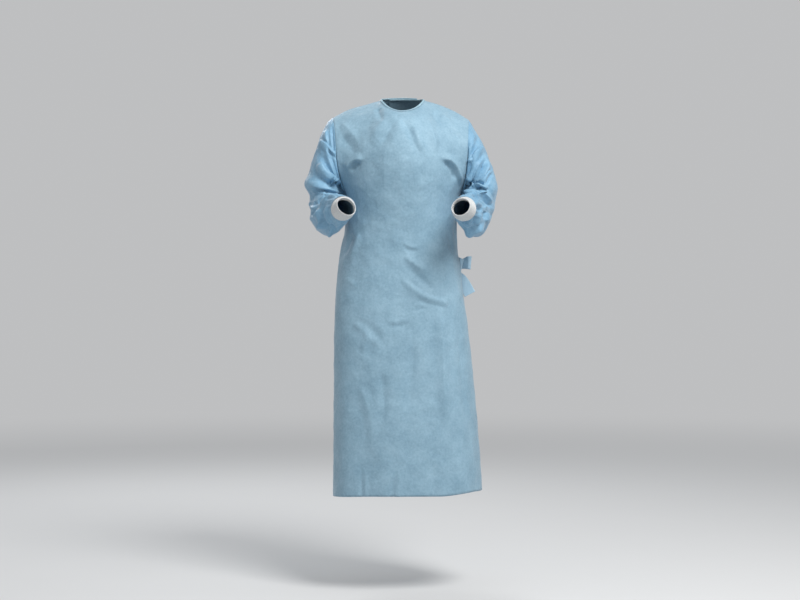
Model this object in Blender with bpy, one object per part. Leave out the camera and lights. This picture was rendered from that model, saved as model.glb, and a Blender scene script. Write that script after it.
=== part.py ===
"""A wrap-round surgical gown as it hangs when worn, in metres.

X runs to the right of the picture, minus Y is the front and Z is up. The origin is
midway between the shoulders at the height of the neck points.
"""

import bpy
import numpy as np
from mathutils import Vector

# Cloth and seams
CLOTH = 0.0015
SEAM_GAP = 0.0003
LAP_DEPTH = 0.0065
LAP_START = 0.01
LAP_CLEAR = 0.012

# Grid sizes
SHOULDER_STEPS = 6
NECK_STEPS = 9
FLAP_NECK_STEPS = 8
DENSE_FACTOR = 3
SKIRT_ROWS = 14
YOKE_ROWS = 12
SLEEVE_RINGS = 23
SMOOTH_PASSES = 40
SMOOTH_WEIGHT = 0.5
SMOOTH_TOP_SHARE = 0.25
YOKE_BLEND_ROWS = 5

# Drop below the neck points, left and right half sides, front and back depths,
# roundness of the section, and how far the row sags at the middle
BODY_COLUMNS = ("drop", "left", "right", "front", "back", "power", "sag")
BODY = (
    (0.294, -0.169, 0.176, -0.142, 0.112, 2.25, 0.050),
    (0.330, -0.161, 0.165, -0.143, 0.115, 2.30, 0.044),
    (0.372, -0.162, 0.151, -0.142, 0.117, 2.35, 0.037),
    (0.419, -0.179, 0.1515, -0.141, 0.120, 2.40, 0.030),
    (0.505, -0.196, 0.177, -0.144, 0.127, 2.45, 0.022),
    (0.587, -0.2025, 0.184, -0.149, 0.135, 2.45, 0.016),
    (0.682, -0.207, 0.197, -0.155, 0.143, 2.45, 0.010),
    (0.828, -0.209, 0.213, -0.163, 0.154, 2.45, 0.005),
    (0.984, -0.2095, 0.227, -0.170, 0.164, 2.45, 0.002),
    (1.2085, -0.211, 0.2425, -0.178, 0.176, 2.45, -0.015),
)
HEM_DROP = 1.2085
ARMPIT_DROP = 0.294
ROW_SPACING = 0.92
SAG_ROUNDNESS = 1.4

# The hem's right end stands higher: by how much, from which drop on, and from which share
# of the half width on
HEM_LIFT = 0.0175
HEM_LIFT_DROP = 0.7
HEM_LIFT_ACROSS = 0.3

# Neck and shoulders: half width, then y and z of the front, the back and the side of the neck
NECK_HALF = 0.068
NECK_FRONT = (-0.090, -0.050)
NECK_BACK = (0.062, 0.004)
NECK_SIDE = (0.006, -0.006)
NECK_ROUNDNESS = (0.92, 1.35)
NECK_CURVE_POINTS = 17
SHOULDER_LEFT = ((-0.118, 0.011, -0.0195), (-0.166, 0.012, -0.0335), (-0.2135, 0.012, -0.0580))
SHOULDER_RIGHT = ((0.110, 0.011, -0.0175), (0.160, 0.012, -0.0385), (0.203, 0.012, -0.0650))

# Armhole edges from the underarm to the top of the shoulder, front then back
ARMHOLE_LEFT = (
    ((-0.169, 0.000, -0.294), (-0.176, -0.040, -0.280), (-0.190, -0.068, -0.240),
     (-0.1985, -0.080, -0.185), (-0.2015, -0.076, -0.140), (-0.205, -0.055, -0.100),
     (-0.2105, -0.022, -0.069), (-0.2135, 0.012, -0.0580)),
    ((-0.169, 0.000, -0.294), (-0.174, 0.036, -0.276), (-0.182, 0.064, -0.232),
     (-0.189, 0.078, -0.180), (-0.195, 0.076, -0.132), (-0.203, 0.058, -0.094),
     (-0.210, 0.036, -0.068), (-0.2135, 0.012, -0.0580)),
)
ARMHOLE_RIGHT = (
    ((0.176, 0.000, -0.294), (0.182, -0.040, -0.278), (0.190, -0.068, -0.238),
     (0.1955, -0.080, -0.190), (0.197, -0.076, -0.145), (0.199, -0.055, -0.108),
     (0.2015, -0.022, -0.077), (0.203, 0.012, -0.0650)),
    ((0.176, 0.000, -0.294), (0.179, 0.036, -0.276), (0.184, 0.064, -0.234),
     (0.187, 0.078, -0.182), (0.190, 0.076, -0.136), (0.195, 0.058, -0.100),
     (0.2005, 0.036, -0.074), (0.203, 0.012, -0.0650)),
)
CHEST_FULLNESS = 0.022
BACK_FULLNESS = 0.016
FULLNESS_ROUNDNESS = (0.8, 0.7)
FULLNESS_FADE = 0.35

# Where the free edges of the two back flaps run, as shares of the back from left to right
FLAP_EDGE_COLUMNS = ("height", "outer", "inner")
FLAP_EDGES = (
    (0.00, 0.83, 0.20),
    (0.30, 0.82, 0.21),
    (0.54, 0.80, 0.24),
    (0.70, 0.72, 0.31),
    (0.85, 0.64, 0.37),
    (1.00, 0.60, 0.40),
)

# Large folds of the panels: share across, half width in shares, height out,
# and the drops between which the fold lives
FOLD_COLUMNS = ("across", "spread", "out", "top", "bottom")
FOLD_START = 0.20
FOLD_END = 0.12
FOLD_EDGE_FADE = 0.3
FRONT_FOLDS = (
    (0.20, 0.070, 0.0050, 0.72, 1.30),
    (0.34, 0.060, -0.0040, 0.78, 1.30),
    (0.46, 0.060, 0.0035, 0.80, 1.30),
    (0.60, 0.070, -0.0035, 0.70, 1.30),
    (0.76, 0.070, 0.0045, 0.66, 1.30),
    (0.62, 0.080, 0.0045, 0.38, 0.66),
    (0.30, 0.080, -0.0040, 0.44, 0.72),
)
BACK_FOLDS = (
    (0.10, 0.050, -0.0050, 0.50, 1.30),
    (0.19, 0.050, 0.0075, 0.46, 1.30),
    (0.29, 0.050, -0.0075, 0.42, 1.30),
    (0.41, 0.055, 0.0090, 0.40, 1.30),
    (0.53, 0.050, -0.0080, 0.42, 1.30),
    (0.64, 0.055, 0.0085, 0.40, 1.30),
    (0.76, 0.050, -0.0070, 0.44, 1.30),
    (0.88, 0.050, 0.0055, 0.52, 1.30),
)

# Rings of a sleeve from the armhole to its end, with x counted outwards: the point nearest the
# body, the outer point, the half width from front to back, how far the front of the ring has
# turned up in degrees, and the fold that stands out of it
SLEEVE_COLUMNS = ("ix", "iy", "iz", "ox", "oy", "oz", "half", "turn", "fold")
SLEEVE_LEFT = (
    (0.1690, 0.000, -0.2940, 0.2135, 0.012, -0.0580, 0.0790, 0.0, 0.000),
    (0.1718, 0.000, -0.2962, 0.2275, 0.011, -0.0740, 0.0815, 0.0, 0.002),
    (0.1738, 0.000, -0.2982, 0.2400, 0.010, -0.0940, 0.0830, 0.0, -0.002),
    (0.1754, -0.001, -0.3000, 0.2510, 0.008, -0.1200, 0.0840, 0.0, 0.004),
    (0.1767, -0.002, -0.3015, 0.2610, 0.006, -0.1500, 0.0840, 0.0, -0.003),
    (0.1778, -0.003, -0.3030, 0.2705, 0.004, -0.1800, 0.0835, 0.0, 0.005),
    (0.1787, -0.004, -0.3044, 0.2785, 0.001, -0.2080, 0.0820, 0.0, -0.003),
    (0.1794, -0.005, -0.3058, 0.2870, -0.002, -0.2340, 0.0805, 0.0, 0.003),
    (0.1799, -0.006, -0.3070, 0.2965, -0.004, -0.2600, 0.0795, 0.0, 0.004),
    (0.1803, -0.007, -0.3090, 0.2880, -0.006, -0.2850, 0.0770, 2.0, 0.000),
    (0.1802, -0.010, -0.3200, 0.2830, -0.010, -0.3060, 0.0780, 12.0, 0.000),
    (0.1800, -0.018, -0.3360, 0.2800, -0.018, -0.3230, 0.0790, 25.0, 0.000),
    (0.1792, -0.032, -0.3500, 0.2780, -0.032, -0.3370, 0.0780, 38.0, 0.000),
    (0.1780, -0.049, -0.3580, 0.2765, -0.049, -0.3470, 0.0750, 50.0, 0.000),
    (0.1765, -0.067, -0.3610, 0.2740, -0.067, -0.3520, 0.0700, 61.0, 0.000),
    (0.1745, -0.086, -0.3620, 0.2690, -0.086, -0.3550, 0.0650, 71.0, 0.000),
    (0.1715, -0.104, -0.3620, 0.2620, -0.104, -0.3560, 0.0620, 79.0, 0.002),
    (0.1675, -0.123, -0.3610, 0.2530, -0.123, -0.3560, 0.0605, 84.0, -0.001),
    (0.1615, -0.144, -0.3580, 0.2430, -0.144, -0.3550, 0.0560, 86.0, 0.001),
    (0.1545, -0.165, -0.3550, 0.2320, -0.165, -0.3530, 0.0500, 86.0, -0.001),
    (0.1470, -0.186, -0.3520, 0.2220, -0.186, -0.3500, 0.0440, 84.0, 0.001),
    (0.1405, -0.204, -0.3495, 0.2145, -0.204, -0.3480, 0.0395, 80.0, 0.000),
    (0.1365, -0.219, -0.3480, 0.2090, -0.219, -0.3465, 0.0365, 76.0, 0.000),
)
SLEEVE_RIGHT = (
    (0.1760, 0.000, -0.2940, 0.2030, 0.012, -0.0650, 0.0790, 0.0, 0.000),
    (0.1788, 0.000, -0.2962, 0.2140, 0.011, -0.0860, 0.0815, 0.0, 0.002),
    (0.1808, 0.000, -0.2982, 0.2270, 0.010, -0.1080, 0.0830, 0.0, -0.002),
    (0.1824, -0.001, -0.3000, 0.2400, 0.008, -0.1330, 0.0835, 0.0, 0.003),
    (0.1837, -0.002, -0.3015, 0.2530, 0.006, -0.1600, 0.0835, 0.0, -0.003),
    (0.1847, -0.003, -0.3030, 0.2640, 0.004, -0.1860, 0.0830, 0.0, 0.004),
    (0.1855, -0.004, -0.3044, 0.2730, 0.001, -0.2110, 0.0815, 0.0, -0.004),
    (0.1861, -0.005, -0.3058, 0.2820, -0.002, -0.2370, 0.0800, 0.0, 0.005),
    (0.1865, -0.006, -0.3070, 0.2870, -0.004, -0.2620, 0.0785, 0.0, 0.002),
    (0.1868, -0.007, -0.3090, 0.2860, -0.006, -0.2850, 0.0770, 2.0, 0.000),
    (0.1857, -0.010, -0.3200, 0.2840, -0.010, -0.3060, 0.0780, 12.0, 0.000),
    (0.1853, -0.018, -0.3360, 0.2790, -0.018, -0.3240, 0.0790, 25.0, 0.000),
    (0.1842, -0.032, -0.3500, 0.2730, -0.032, -0.3400, 0.0780, 38.0, 0.000),
    (0.1825, -0.049, -0.3580, 0.2670, -0.049, -0.3500, 0.0750, 50.0, 0.000),
    (0.1800, -0.067, -0.3620, 0.2620, -0.067, -0.3560, 0.0710, 61.0, 0.000),
    (0.1770, -0.086, -0.3640, 0.2570, -0.086, -0.3590, 0.0665, 71.0, 0.000),
    (0.1730, -0.104, -0.3640, 0.2510, -0.104, -0.3600, 0.0640, 79.0, 0.002),
    (0.1680, -0.123, -0.3620, 0.2440, -0.123, -0.3590, 0.0620, 84.0, -0.001),
    (0.1615, -0.144, -0.3590, 0.2360, -0.144, -0.3570, 0.0570, 86.0, 0.001),
    (0.1550, -0.165, -0.3560, 0.2280, -0.165, -0.3540, 0.0510, 86.0, -0.001),
    (0.1490, -0.186, -0.3530, 0.2210, -0.186, -0.3515, 0.0445, 84.0, 0.001),
    (0.1445, -0.204, -0.3505, 0.2165, -0.204, -0.3495, 0.0400, 80.0, 0.000),
    (0.1420, -0.219, -0.3490, 0.2145, -0.219, -0.3480, 0.0365, 76.0, 0.000),
)
ARMHOLE_BLEND_RINGS = 5
ARMHOLE_BLEND_FADE = 1.6
SLEEVE_LEAN = 0.26
SLEEVE_FOLD_ROUNDNESS = 1.5
SLEEVE_FOLD_BACK = -0.6

# Knitted cuffs
CUFF_LENGTH = 0.070
CUFF_STEPS = 4
CUFF_END_SCALE = 0.80
CUFF_NARROWING = 1.3
CUFF_TURN = (0.40, -0.80, 0.45)

# Neck binding and its closure
BINDING_HEIGHT = 0.0055
BINDING_OVER = 0.0004
BINDING_GAP = 0.0006
PATCH_WALL = 0.0012
PATCH_CLEAR = 0.0004
PATCH_UP = (0.15, 0.88)
PATCH_STEPS = 4

# Ties: centre line after the sewn end, width, and the direction of the width
TIE_WALL = 0.0015
TIE_WIDTH = 0.036
TIE_CLEAR = 0.0022
TIE_POINTS = 40
TIE_HEIGHT = 0.503
TIE_FLAP_SEWN = (1.6, 1.0, 0.4)
TIE_SIDE_SEWN = (0.3, 1.0, 1.5)
TIE_COLUMNS = ("x", "y", "z", "width", "wx", "wy", "wz")
TIE_FLAP = (
    (0.1440, 0.0995, -0.5050, 0.026, 0.0, 0.0, 1.0),
    (0.1520, 0.0960, -0.5070, 0.017, 0.0, 0.0, 1.0),
    (0.1590, 0.0925, -0.5085, 0.012, 0.0, 0.0, 1.0),
    (0.1655, 0.0905, -0.5100, 0.010, 0.0, 0.0, 1.0),
    (0.172, 0.0895, -0.5105, 0.011, 0.0, 0.0, 1.0),
    (0.181, 0.0865, -0.5100, 0.017, 0.0, 0.0, 1.0),
    (0.194, 0.0800, -0.5030, 0.035, 0.1, 0.0, 1.0),
    (0.206, 0.0745, -0.4990, 0.039, 0.1, 0.0, 1.0),
    (0.2125, 0.0830, -0.5000, 0.039, 0.1, 0.0, 1.0),
    (0.204, 0.0930, -0.5020, 0.037, 0.1, 0.0, 1.0),
    (0.190, 0.0965, -0.5070, 0.024, 0.0, 0.0, 1.0),
    (0.179, 0.0965, -0.5120, 0.013, 0.0, 0.0, 1.0),
    (0.168, 0.0965, -0.5140, 0.010, 0.0, 0.0, 1.0),
    (0.160, 0.0985, -0.5165, 0.008, 0.1, 0.0, 1.0),
    (0.1545, 0.1035, -0.5270, 0.007, 0.6, -0.3, 0.7),
    (0.151, 0.1110, -0.5480, 0.022, 0.9, -0.5, 0.2),
    (0.150, 0.1170, -0.5750, 0.036, 0.9, -0.5, 0.0),
    (0.149, 0.1220, -0.6300, 0.036, 0.9, -0.5, 0.0),
)
TIE_SIDE = (
    (0.1850, 0.0520, -0.5030, 0.027, 0.2, 0.0, 0.97),
    (0.1820, 0.0680, -0.5005, 0.019, 0.6, 0.0, 0.80),
    (0.1740, 0.0820, -0.4985, 0.013, 0.95, 0.0, 0.30),
    (0.1685, 0.0930, -0.4990, 0.012, 1.0, 0.0, 0.0),
    (0.1680, 0.1025, -0.5045, 0.012, 1.0, 0.0, 0.0),
    (0.1680, 0.1045, -0.5135, 0.012, 1.0, 0.0, 0.0),
    (0.1680, 0.1015, -0.5240, 0.012, 1.0, 0.0, 0.0),
    (0.1680, 0.0930, -0.5285, 0.012, 1.0, 0.0, 0.0),
    (0.1710, 0.0855, -0.5325, 0.016, 1.0, 0.0, 0.1),
    (0.1770, 0.0815, -0.5420, 0.028, 0.9, 0.0, 0.3),
    (0.1880, 0.0790, -0.5600, 0.036, 0.9, 0.0, 0.43),
    (0.1990, 0.0770, -0.5780, 0.036, 0.9, 0.0, 0.43),
    (0.2090, 0.0750, -0.5970, 0.036, 0.9, 0.0, 0.43),
)

CLOTH_COLOUR = (0.23, 0.40, 0.53)
SLEEVE_COLOUR = (0.25, 0.43, 0.57)
BINDING_COLOUR = (0.34, 0.52, 0.64)
CUFF_COLOUR = (0.80, 0.82, 0.82)
TIE_COLOUR = (0.42, 0.60, 0.72)
PATCH_COLOUR = (0.85, 0.86, 0.87)
ROUGHNESS = 0.8


def column(table, names, name):
    return np.array([row[names.index(name)] for row in table], float)


def curve(points, shares):
    """Points of a smooth curve through the given points, at shares from 0 to 1 of its length."""
    points = np.array(points, float)
    gaps = np.sqrt(np.linalg.norm(np.diff(points, axis=0), axis=1)) + 1e-9
    at = np.concatenate([[0.0], np.cumsum(gaps)])
    slopes = np.gradient(points, at, axis=0)
    fine = np.linspace(0.0, at[-1], 24 * len(points))
    found = hermite(at, points, slopes, fine)
    run = np.concatenate([[0.0], np.cumsum(np.linalg.norm(np.diff(found, axis=0), axis=1))])
    wanted = np.asarray(shares, float) * run[-1]
    return np.stack([np.interp(wanted, run, found[:, k]) for k in range(3)], axis=1)


def hermite(at, values, slopes, wanted):
    """Cubic curve through values at the places at, with the given slopes."""
    k = np.clip(np.searchsorted(at, wanted, side="right") - 1, 0, len(at) - 2)
    step = at[k + 1] - at[k]
    s = ((wanted - at[k]) / step)[:, None]
    step = step[:, None]
    low, high = values[k], values[k + 1]
    return (
        (2 * s**3 - 3 * s**2 + 1) * low
        + (s**3 - 2 * s**2 + s) * step * slopes[k]
        + (3 * s**2 - 2 * s**3) * high
        + (s**3 - s**2) * step * slopes[k + 1]
    )


def smooth_table(at, table, wanted):
    """Every column of a table read at the wanted places along a smooth curve."""
    table = np.array(table, float)
    at = np.asarray(at, float)
    return hermite(at, table, np.gradient(table, at, axis=0), np.asarray(wanted, float))


def ramp(x):
    x = np.clip(x, 0.0, 1.0)
    return x * x * (3.0 - 2.0 * x)


def unit(v):
    return v / np.maximum(np.linalg.norm(v, axis=-1, keepdims=True), 1e-12)


def body_point(drop, turn, side):
    """Point of the body section at a drop, turn 0 to pi from left to right, side -1 front or 1 back."""
    drops = column(BODY, BODY_COLUMNS, "drop")
    values = smooth_table(drops, BODY, np.clip([drop], ARMPIT_DROP, HEM_DROP))[0]
    size = dict(zip(BODY_COLUMNS, values))
    middle = (size["left"] + size["right"]) / 2
    half = (size["right"] - size["left"]) / 2
    round_off = 2 / size["power"]
    across = -np.cos(turn)
    depth = size["front"] if side < 0 else size["back"]
    x = middle + half * np.sign(across) * abs(across) ** round_off
    return np.array([x, depth * np.sin(turn) ** round_off, -drop])


def skirt_row(drop, columns, side):
    """One row of a body panel, from the left side seam to the right one."""
    drops = column(BODY, BODY_COLUMNS, "drop")
    sag = np.interp(drop, drops, column(BODY, BODY_COLUMNS, "sag"))
    row = []
    for turn in np.linspace(0.0, np.pi, columns):
        middle = np.sin(turn) ** SAG_ROUNDNESS
        lift = HEM_LIFT * ramp((drop - HEM_LIFT_DROP) / (HEM_DROP - HEM_LIFT_DROP))
        lift *= ramp((-np.cos(turn) - HEM_LIFT_ACROSS) / (1 - HEM_LIFT_ACROSS))
        point = body_point(drop + sag * middle, turn, side)
        point[2] += lift
        row.append(point)
    return np.array(row)


def top_edge(factor, side):
    """Shoulder seam, neck edge and shoulder seam of a panel, from left to right."""
    side_of_neck = np.array(NECK_SIDE)
    reach = np.array(NECK_FRONT if side < 0 else NECK_BACK) - side_of_neck
    left = list(SHOULDER_LEFT[::-1]) + [(-NECK_HALF, *NECK_SIDE)]
    right = [(NECK_HALF, *NECK_SIDE)] + list(SHOULDER_RIGHT)
    neck = []
    for turn in np.linspace(0.0, np.pi, NECK_CURVE_POINTS):
        y, z = side_of_neck + reach * np.sin(turn) ** np.array(NECK_ROUNDNESS)
        neck.append((-NECK_HALF * np.cos(turn), y, z))
    shoulder = np.linspace(0.0, 1.0, SHOULDER_STEPS * factor + 1)
    middle = np.linspace(0.0, 1.0, NECK_STEPS * factor + 1)
    parts = (curve(left, shoulder), curve(neck, middle)[1:-1], curve(right, shoulder))
    return np.concatenate(parts)


def coons(bottom, top, left, right):
    """Surface between four edges. Bottom and top run left to right, left and right run up."""
    rows, columns = len(left), len(bottom)
    v = np.linspace(0.0, 1.0, rows)[:, None, None]
    u = np.linspace(0.0, 1.0, columns)[None, :, None]
    across = (1 - v) * bottom[None] + v * top[None]
    along = (1 - u) * left[:, None] + u * right[:, None]
    corners = (
        (1 - u) * (1 - v) * bottom[0]
        + u * (1 - v) * bottom[-1]
        + (1 - u) * v * top[0]
        + u * v * top[-1]
    )
    return across + along - corners


def relax(grid, weights, passes):
    """Moves inner points of a grid towards the middle of their neighbours."""
    grid = grid.copy()
    for _ in range(passes):
        middle = (grid[:-2, 1:-1] + grid[2:, 1:-1] + grid[1:-1, :-2] + grid[1:-1, 2:]) / 4
        inside = grid[1:-1, 1:-1]
        grid[1:-1, 1:-1] = inside + weights[1:-1, 1:-1, None] * (middle - inside)
    return grid


def body_surface(side, factor=1):
    """A whole front or back from the hem to the shoulders, as a grid of points."""
    columns = (2 * SHOULDER_STEPS + NECK_STEPS) * factor + 1
    rises = np.linspace(0.0, 1.0, SKIRT_ROWS) ** ROW_SPACING
    drops = HEM_DROP - (HEM_DROP - ARMPIT_DROP) * rises
    skirt = np.array([skirt_row(drop, columns, side) for drop in drops])
    shares = np.linspace(0.0, 1.0, YOKE_ROWS + 1)
    edge = 0 if side < 0 else 1
    left = curve(ARMHOLE_LEFT[edge], shares)
    right = curve(ARMHOLE_RIGHT[edge], shares)
    yoke = coons(skirt[-1], top_edge(factor, side), left, right)
    v = shares[:, None]
    u = np.linspace(0.0, 1.0, columns)[None, :]
    up_power, across_power = FULLNESS_ROUNDNESS
    swell = np.sin(np.pi * v) ** up_power * (1 - FULLNESS_FADE * v) * np.sin(np.pi * u) ** across_power
    yoke[:, :, 1] += side * (CHEST_FULLNESS if side < 0 else BACK_FULLNESS) * swell
    grid = np.concatenate([skirt, yoke[1:]])
    heights = np.arange(len(grid)) - (SKIRT_ROWS - 1)
    fade = ramp((heights + YOKE_BLEND_ROWS) / YOKE_BLEND_ROWS)
    below_top = ramp((YOKE_ROWS - heights) / YOKE_ROWS)
    fade = fade * (SMOOTH_TOP_SHARE + (1 - SMOOTH_TOP_SHARE) * below_top)
    grid = relax(grid, SMOOTH_WEIGHT * np.repeat(fade[:, None], columns, 1), SMOOTH_PASSES)
    return fold(grid, FRONT_FOLDS if side < 0 else BACK_FOLDS)


def fold(grid, folds):
    """Adds the large folds of a panel, along its normals."""
    normals = grid_normals(grid)
    across = np.linspace(0.0, 1.0, grid.shape[1])[None, :]
    drop = -grid[:, :, 2]
    out = np.zeros(grid.shape[:2])
    for row in folds:
        size = dict(zip(FOLD_COLUMNS, row))
        shape = np.exp(-(((across - size["across"]) / size["spread"]) ** 2))
        life = ramp((drop - size["top"]) / FOLD_START) * ramp((size["bottom"] - drop) / FOLD_END)
        out += size["out"] * shape * life
    out *= np.sin(np.pi * across) ** FOLD_EDGE_FADE
    return grid + normals * out[:, :, None]


def grid_normals(grid, around=False):
    """Outward normals of a grid whose columns run left to right and rows run up, seen from outside."""
    if around:
        wide = np.concatenate([grid[:, -2:-1], grid, grid[:, 1:2]], axis=1)
        across = wide[:, 2:] - wide[:, :-2]
    else:
        across = np.gradient(grid, axis=1)
    along = np.gradient(grid, axis=0)
    return unit(np.cross(across, along))


def sample(surface, across, up):
    """Points of a grid at shares across and up."""
    rows, columns = surface.shape[:2]
    y = np.clip(up * (rows - 1), 0, rows - 1.000001)
    x = np.clip(across * (columns - 1), 0, columns - 1.000001)
    j, i = np.floor(y).astype(int), np.floor(x).astype(int)
    v, u = (y - j)[..., None], (x - i)[..., None]
    low = surface[j, i] * (1 - u) + surface[j, i + 1] * u
    high = surface[j + 1, i] * (1 - u) + surface[j + 1, i + 1] * u
    return low * (1 - v) + high * v


def flap_stops(heights, name):
    """Shares across the back at which the free edge of a flap stands, for each height."""
    return smooth_table(
        column(FLAP_EDGES, FLAP_EDGE_COLUMNS, "height"),
        column(FLAP_EDGES, FLAP_EDGE_COLUMNS, name)[:, None],
        np.clip(heights, 0.0, 1.0),
    )


def flap(back, name):
    """The outer or the inner flap cut from the whole back, its columns from its side seam on."""
    rows = back.shape[0]
    heights = (back[:, :, 2].mean(axis=1) + HEM_DROP) / HEM_DROP
    stops = flap_stops(heights, name)
    stops = stops if name == "outer" else 1.0 - stops
    columns = SHOULDER_STEPS + FLAP_NECK_STEPS
    even = np.linspace(0.0, 1.0, columns + 1)[None, :] * stops
    neck_point = SHOULDER_STEPS / (2 * SHOULDER_STEPS + NECK_STEPS)
    seam = np.linspace(0.0, neck_point, SHOULDER_STEPS + 1)
    rest = np.linspace(neck_point, stops[-1, 0], FLAP_NECK_STEPS + 1)[1:]
    aligned = np.concatenate([seam, rest])[None, :]
    pull = ramp((np.arange(rows) - SKIRT_ROWS) / YOKE_ROWS)[:, None]
    pull[-1] = 1.0
    share = (1.0 - pull) * even + pull * aligned
    across = share if name == "outer" else 1.0 - share
    up = np.repeat(np.linspace(0.0, 1.0, rows)[:, None], columns + 1, 1)
    points = sample(back, across, up)
    if name == "inner":
        inwards = unit(sample(grid_normals(back), across, up))
        low = LAP_START + (neck_point - LAP_START) * pull
        high = 1.0 - flap_stops(heights, "outer") - LAP_CLEAR
        points = points + inwards * LAP_DEPTH * ramp((share - low) / (high - low))[:, :, None]
    return points


def sleeve_surface(table, armhole, outwards):
    """Grid of a sleeve: rows are rings from the armhole on, columns run round from the underarm."""
    front = curve(armhole[0], np.linspace(0.0, 1.0, YOKE_ROWS + 1))
    back = curve(armhole[1], np.linspace(0.0, 1.0, YOKE_ROWS + 1))
    first = np.concatenate([front, back[-2::-1]])
    at = np.arange(len(table), dtype=float)
    rings = smooth_table(at, table, np.linspace(0.0, len(table) - 1.0, SLEEVE_RINGS))
    mirror = np.array([outwards, 1.0, 1.0])
    turns = np.linspace(0.0, 2 * np.pi, 2 * YOKE_ROWS + 1)
    ahead, around = np.sin(turns), np.cos(turns)
    grid = np.zeros((SLEEVE_RINGS, len(turns), 3))
    for k, row in enumerate(rings):
        size = dict(zip(SLEEVE_COLUMNS, row))
        inner = np.array([size["ix"], size["iy"], size["iz"]]) * mirror
        outer = np.array([size["ox"], size["oy"], size["oz"]]) * mirror
        lift, out = np.radians(size["turn"]), size["fold"]
        reach = (outer - inner) / 2
        lean = SLEEVE_LEAN * np.sin(lift) * outwards
        face = np.array([lean, -np.cos(lift), np.sin(lift)])
        face = unit(face - unit(reach) * (face @ unit(reach)))
        stand = np.where(ahead > 0, out, SLEEVE_FOLD_BACK * out)
        swell = np.abs(ahead) ** SLEEVE_FOLD_ROUNDNESS * stand
        deep = size["half"] * ahead + np.sign(ahead) * swell
        grid[k] = (inner + outer) / 2 - around[:, None] * reach + deep[:, None] * face
    rest = first - grid[0]
    for k in range(ARMHOLE_BLEND_RINGS):
        grid[k] += rest * (1.0 - k / ARMHOLE_BLEND_RINGS) ** ARMHOLE_BLEND_FADE
    grid[:, -1] = grid[:, 0]
    return grid


def share_normals(grids, normals, arounds, groups):
    """Gives points that several pieces share along a seam one common normal, halfway between groups."""
    total = {}
    for grid, normal, around, group in zip(grids, normals, arounds, groups):
        last = grid.shape[1] - 1 if around else grid.shape[1]
        for j in range(grid.shape[0]):
            for i in range(last):
                found = total.setdefault(tuple(np.round(grid[j, i], 5)), {})
                found[group] = found.get(group, 0.0) + normal[j, i]
    for grid, normal in zip(grids, normals):
        for j in range(grid.shape[0]):
            for i in range(grid.shape[1]):
                found = total[tuple(np.round(grid[j, i], 5))].values()
                normal[j, i] = unit(sum(unit(one) for one in found))


def drawn_back(edge, inside, around=False):
    """Small step from an edge into its piece, square to the edge."""
    if around:
        run = np.roll(edge[:-1], -1, axis=0) - np.roll(edge[:-1], 1, axis=0)
        run = np.concatenate([run, run[:1]])
    else:
        run = np.gradient(edge, axis=0)
    run = unit(run)
    step = inside - edge
    step = step - run * (step * run).sum(axis=1, keepdims=True)
    return unit(step) * SEAM_GAP


def trimmed(grid, around):
    """The grid with its open edges drawn back by the seam gap."""
    moved = grid.copy()
    moved[0] += drawn_back(grid[0], grid[1], around)
    moved[-1] += drawn_back(grid[-1], grid[-2], around)
    if not around:
        moved[:, 0] += drawn_back(grid[:, 0], grid[:, 1])
        moved[:, -1] += drawn_back(grid[:, -1], grid[:, -2])
    return moved


def add_solid(name, points, faces, colour):
    mesh = bpy.data.meshes.new(name)
    mesh.from_pydata([tuple(p) for p in points], [], faces)
    mesh.validate()
    obj = bpy.data.objects.new(name, mesh)
    bpy.context.collection.objects.link(obj)
    material = bpy.data.materials.new(name)
    material.use_nodes = True
    shader = material.node_tree.nodes["Principled BSDF"]
    shader.inputs["Base Color"].default_value = (*colour, 1.0)
    shader.inputs["Roughness"].default_value = ROUGHNESS
    mesh.materials.append(material)
    return obj


def add_wall(name, outside, inside, colour, around=False):
    """A closed wall between two grids of points."""
    rows, columns = outside.shape[:2]
    if around:
        outside, inside = outside[:, :-1], inside[:, :-1]
        columns -= 1
    points = np.concatenate([outside.reshape(-1, 3), inside.reshape(-1, 3)])
    depth = rows * columns
    faces = []
    last = columns if around else columns - 1

    def square(a, b, c, d):
        faces.extend([(a, b, c), (a, c, d)])

    for j in range(rows - 1):
        for i in range(last):
            a = j * columns + i
            b = j * columns + (i + 1) % columns
            c, d = b + columns, a + columns
            square(a, b, c, d)
            faces.append((c + depth, b + depth, a + depth))
            faces.append((d + depth, c + depth, a + depth))
    for i in range(last):
        a, b = i, (i + 1) % columns
        square(b, a, a + depth, b + depth)
        a, b = a + (rows - 1) * columns, b + (rows - 1) * columns
        square(a, b, b + depth, a + depth)
    if not around:
        for j in range(rows - 1):
            a, b = j * columns, (j + 1) * columns
            square(a, b, b + depth, a + depth)
            a, b = a + columns - 1, b + columns - 1
            square(b, a, a + depth, b + depth)
    return add_solid(name, points, faces, colour)


def cloth_piece(name, grid, normals, colour, around=False, wall=CLOTH):
    edge = trimmed(grid, around)
    return add_wall(name, edge, edge - normals * wall, colour, around)


def cuff_surface(ring, inwards):
    """Grid of a knitted tube that goes on from the last ring of a sleeve, its far end first."""
    centre = ring[:-1].mean(axis=0)
    start = unit(np.cross(ring[YOKE_ROWS // 2] - centre, ring[YOKE_ROWS] - centre))
    turn = unit(np.array(CUFF_TURN) * np.array([inwards, 1.0, 1.0]))
    start = start if start @ turn > 0 else -start
    rings = []
    place = centre
    for share in np.linspace(0.0, 1.0, CUFF_STEPS + 1):
        aim = unit(start * (1 - share) + turn * share)
        swing = np.array(Vector(start).rotation_difference(Vector(aim)).to_matrix())
        scale = 1.0 + (CUFF_END_SCALE - 1.0) * ramp(share * CUFF_NARROWING)
        rings.append(place + (ring - centre) @ swing.T * scale)
        place = place + aim * CUFF_LENGTH / CUFF_STEPS
    return np.array(rings[::-1])


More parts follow.
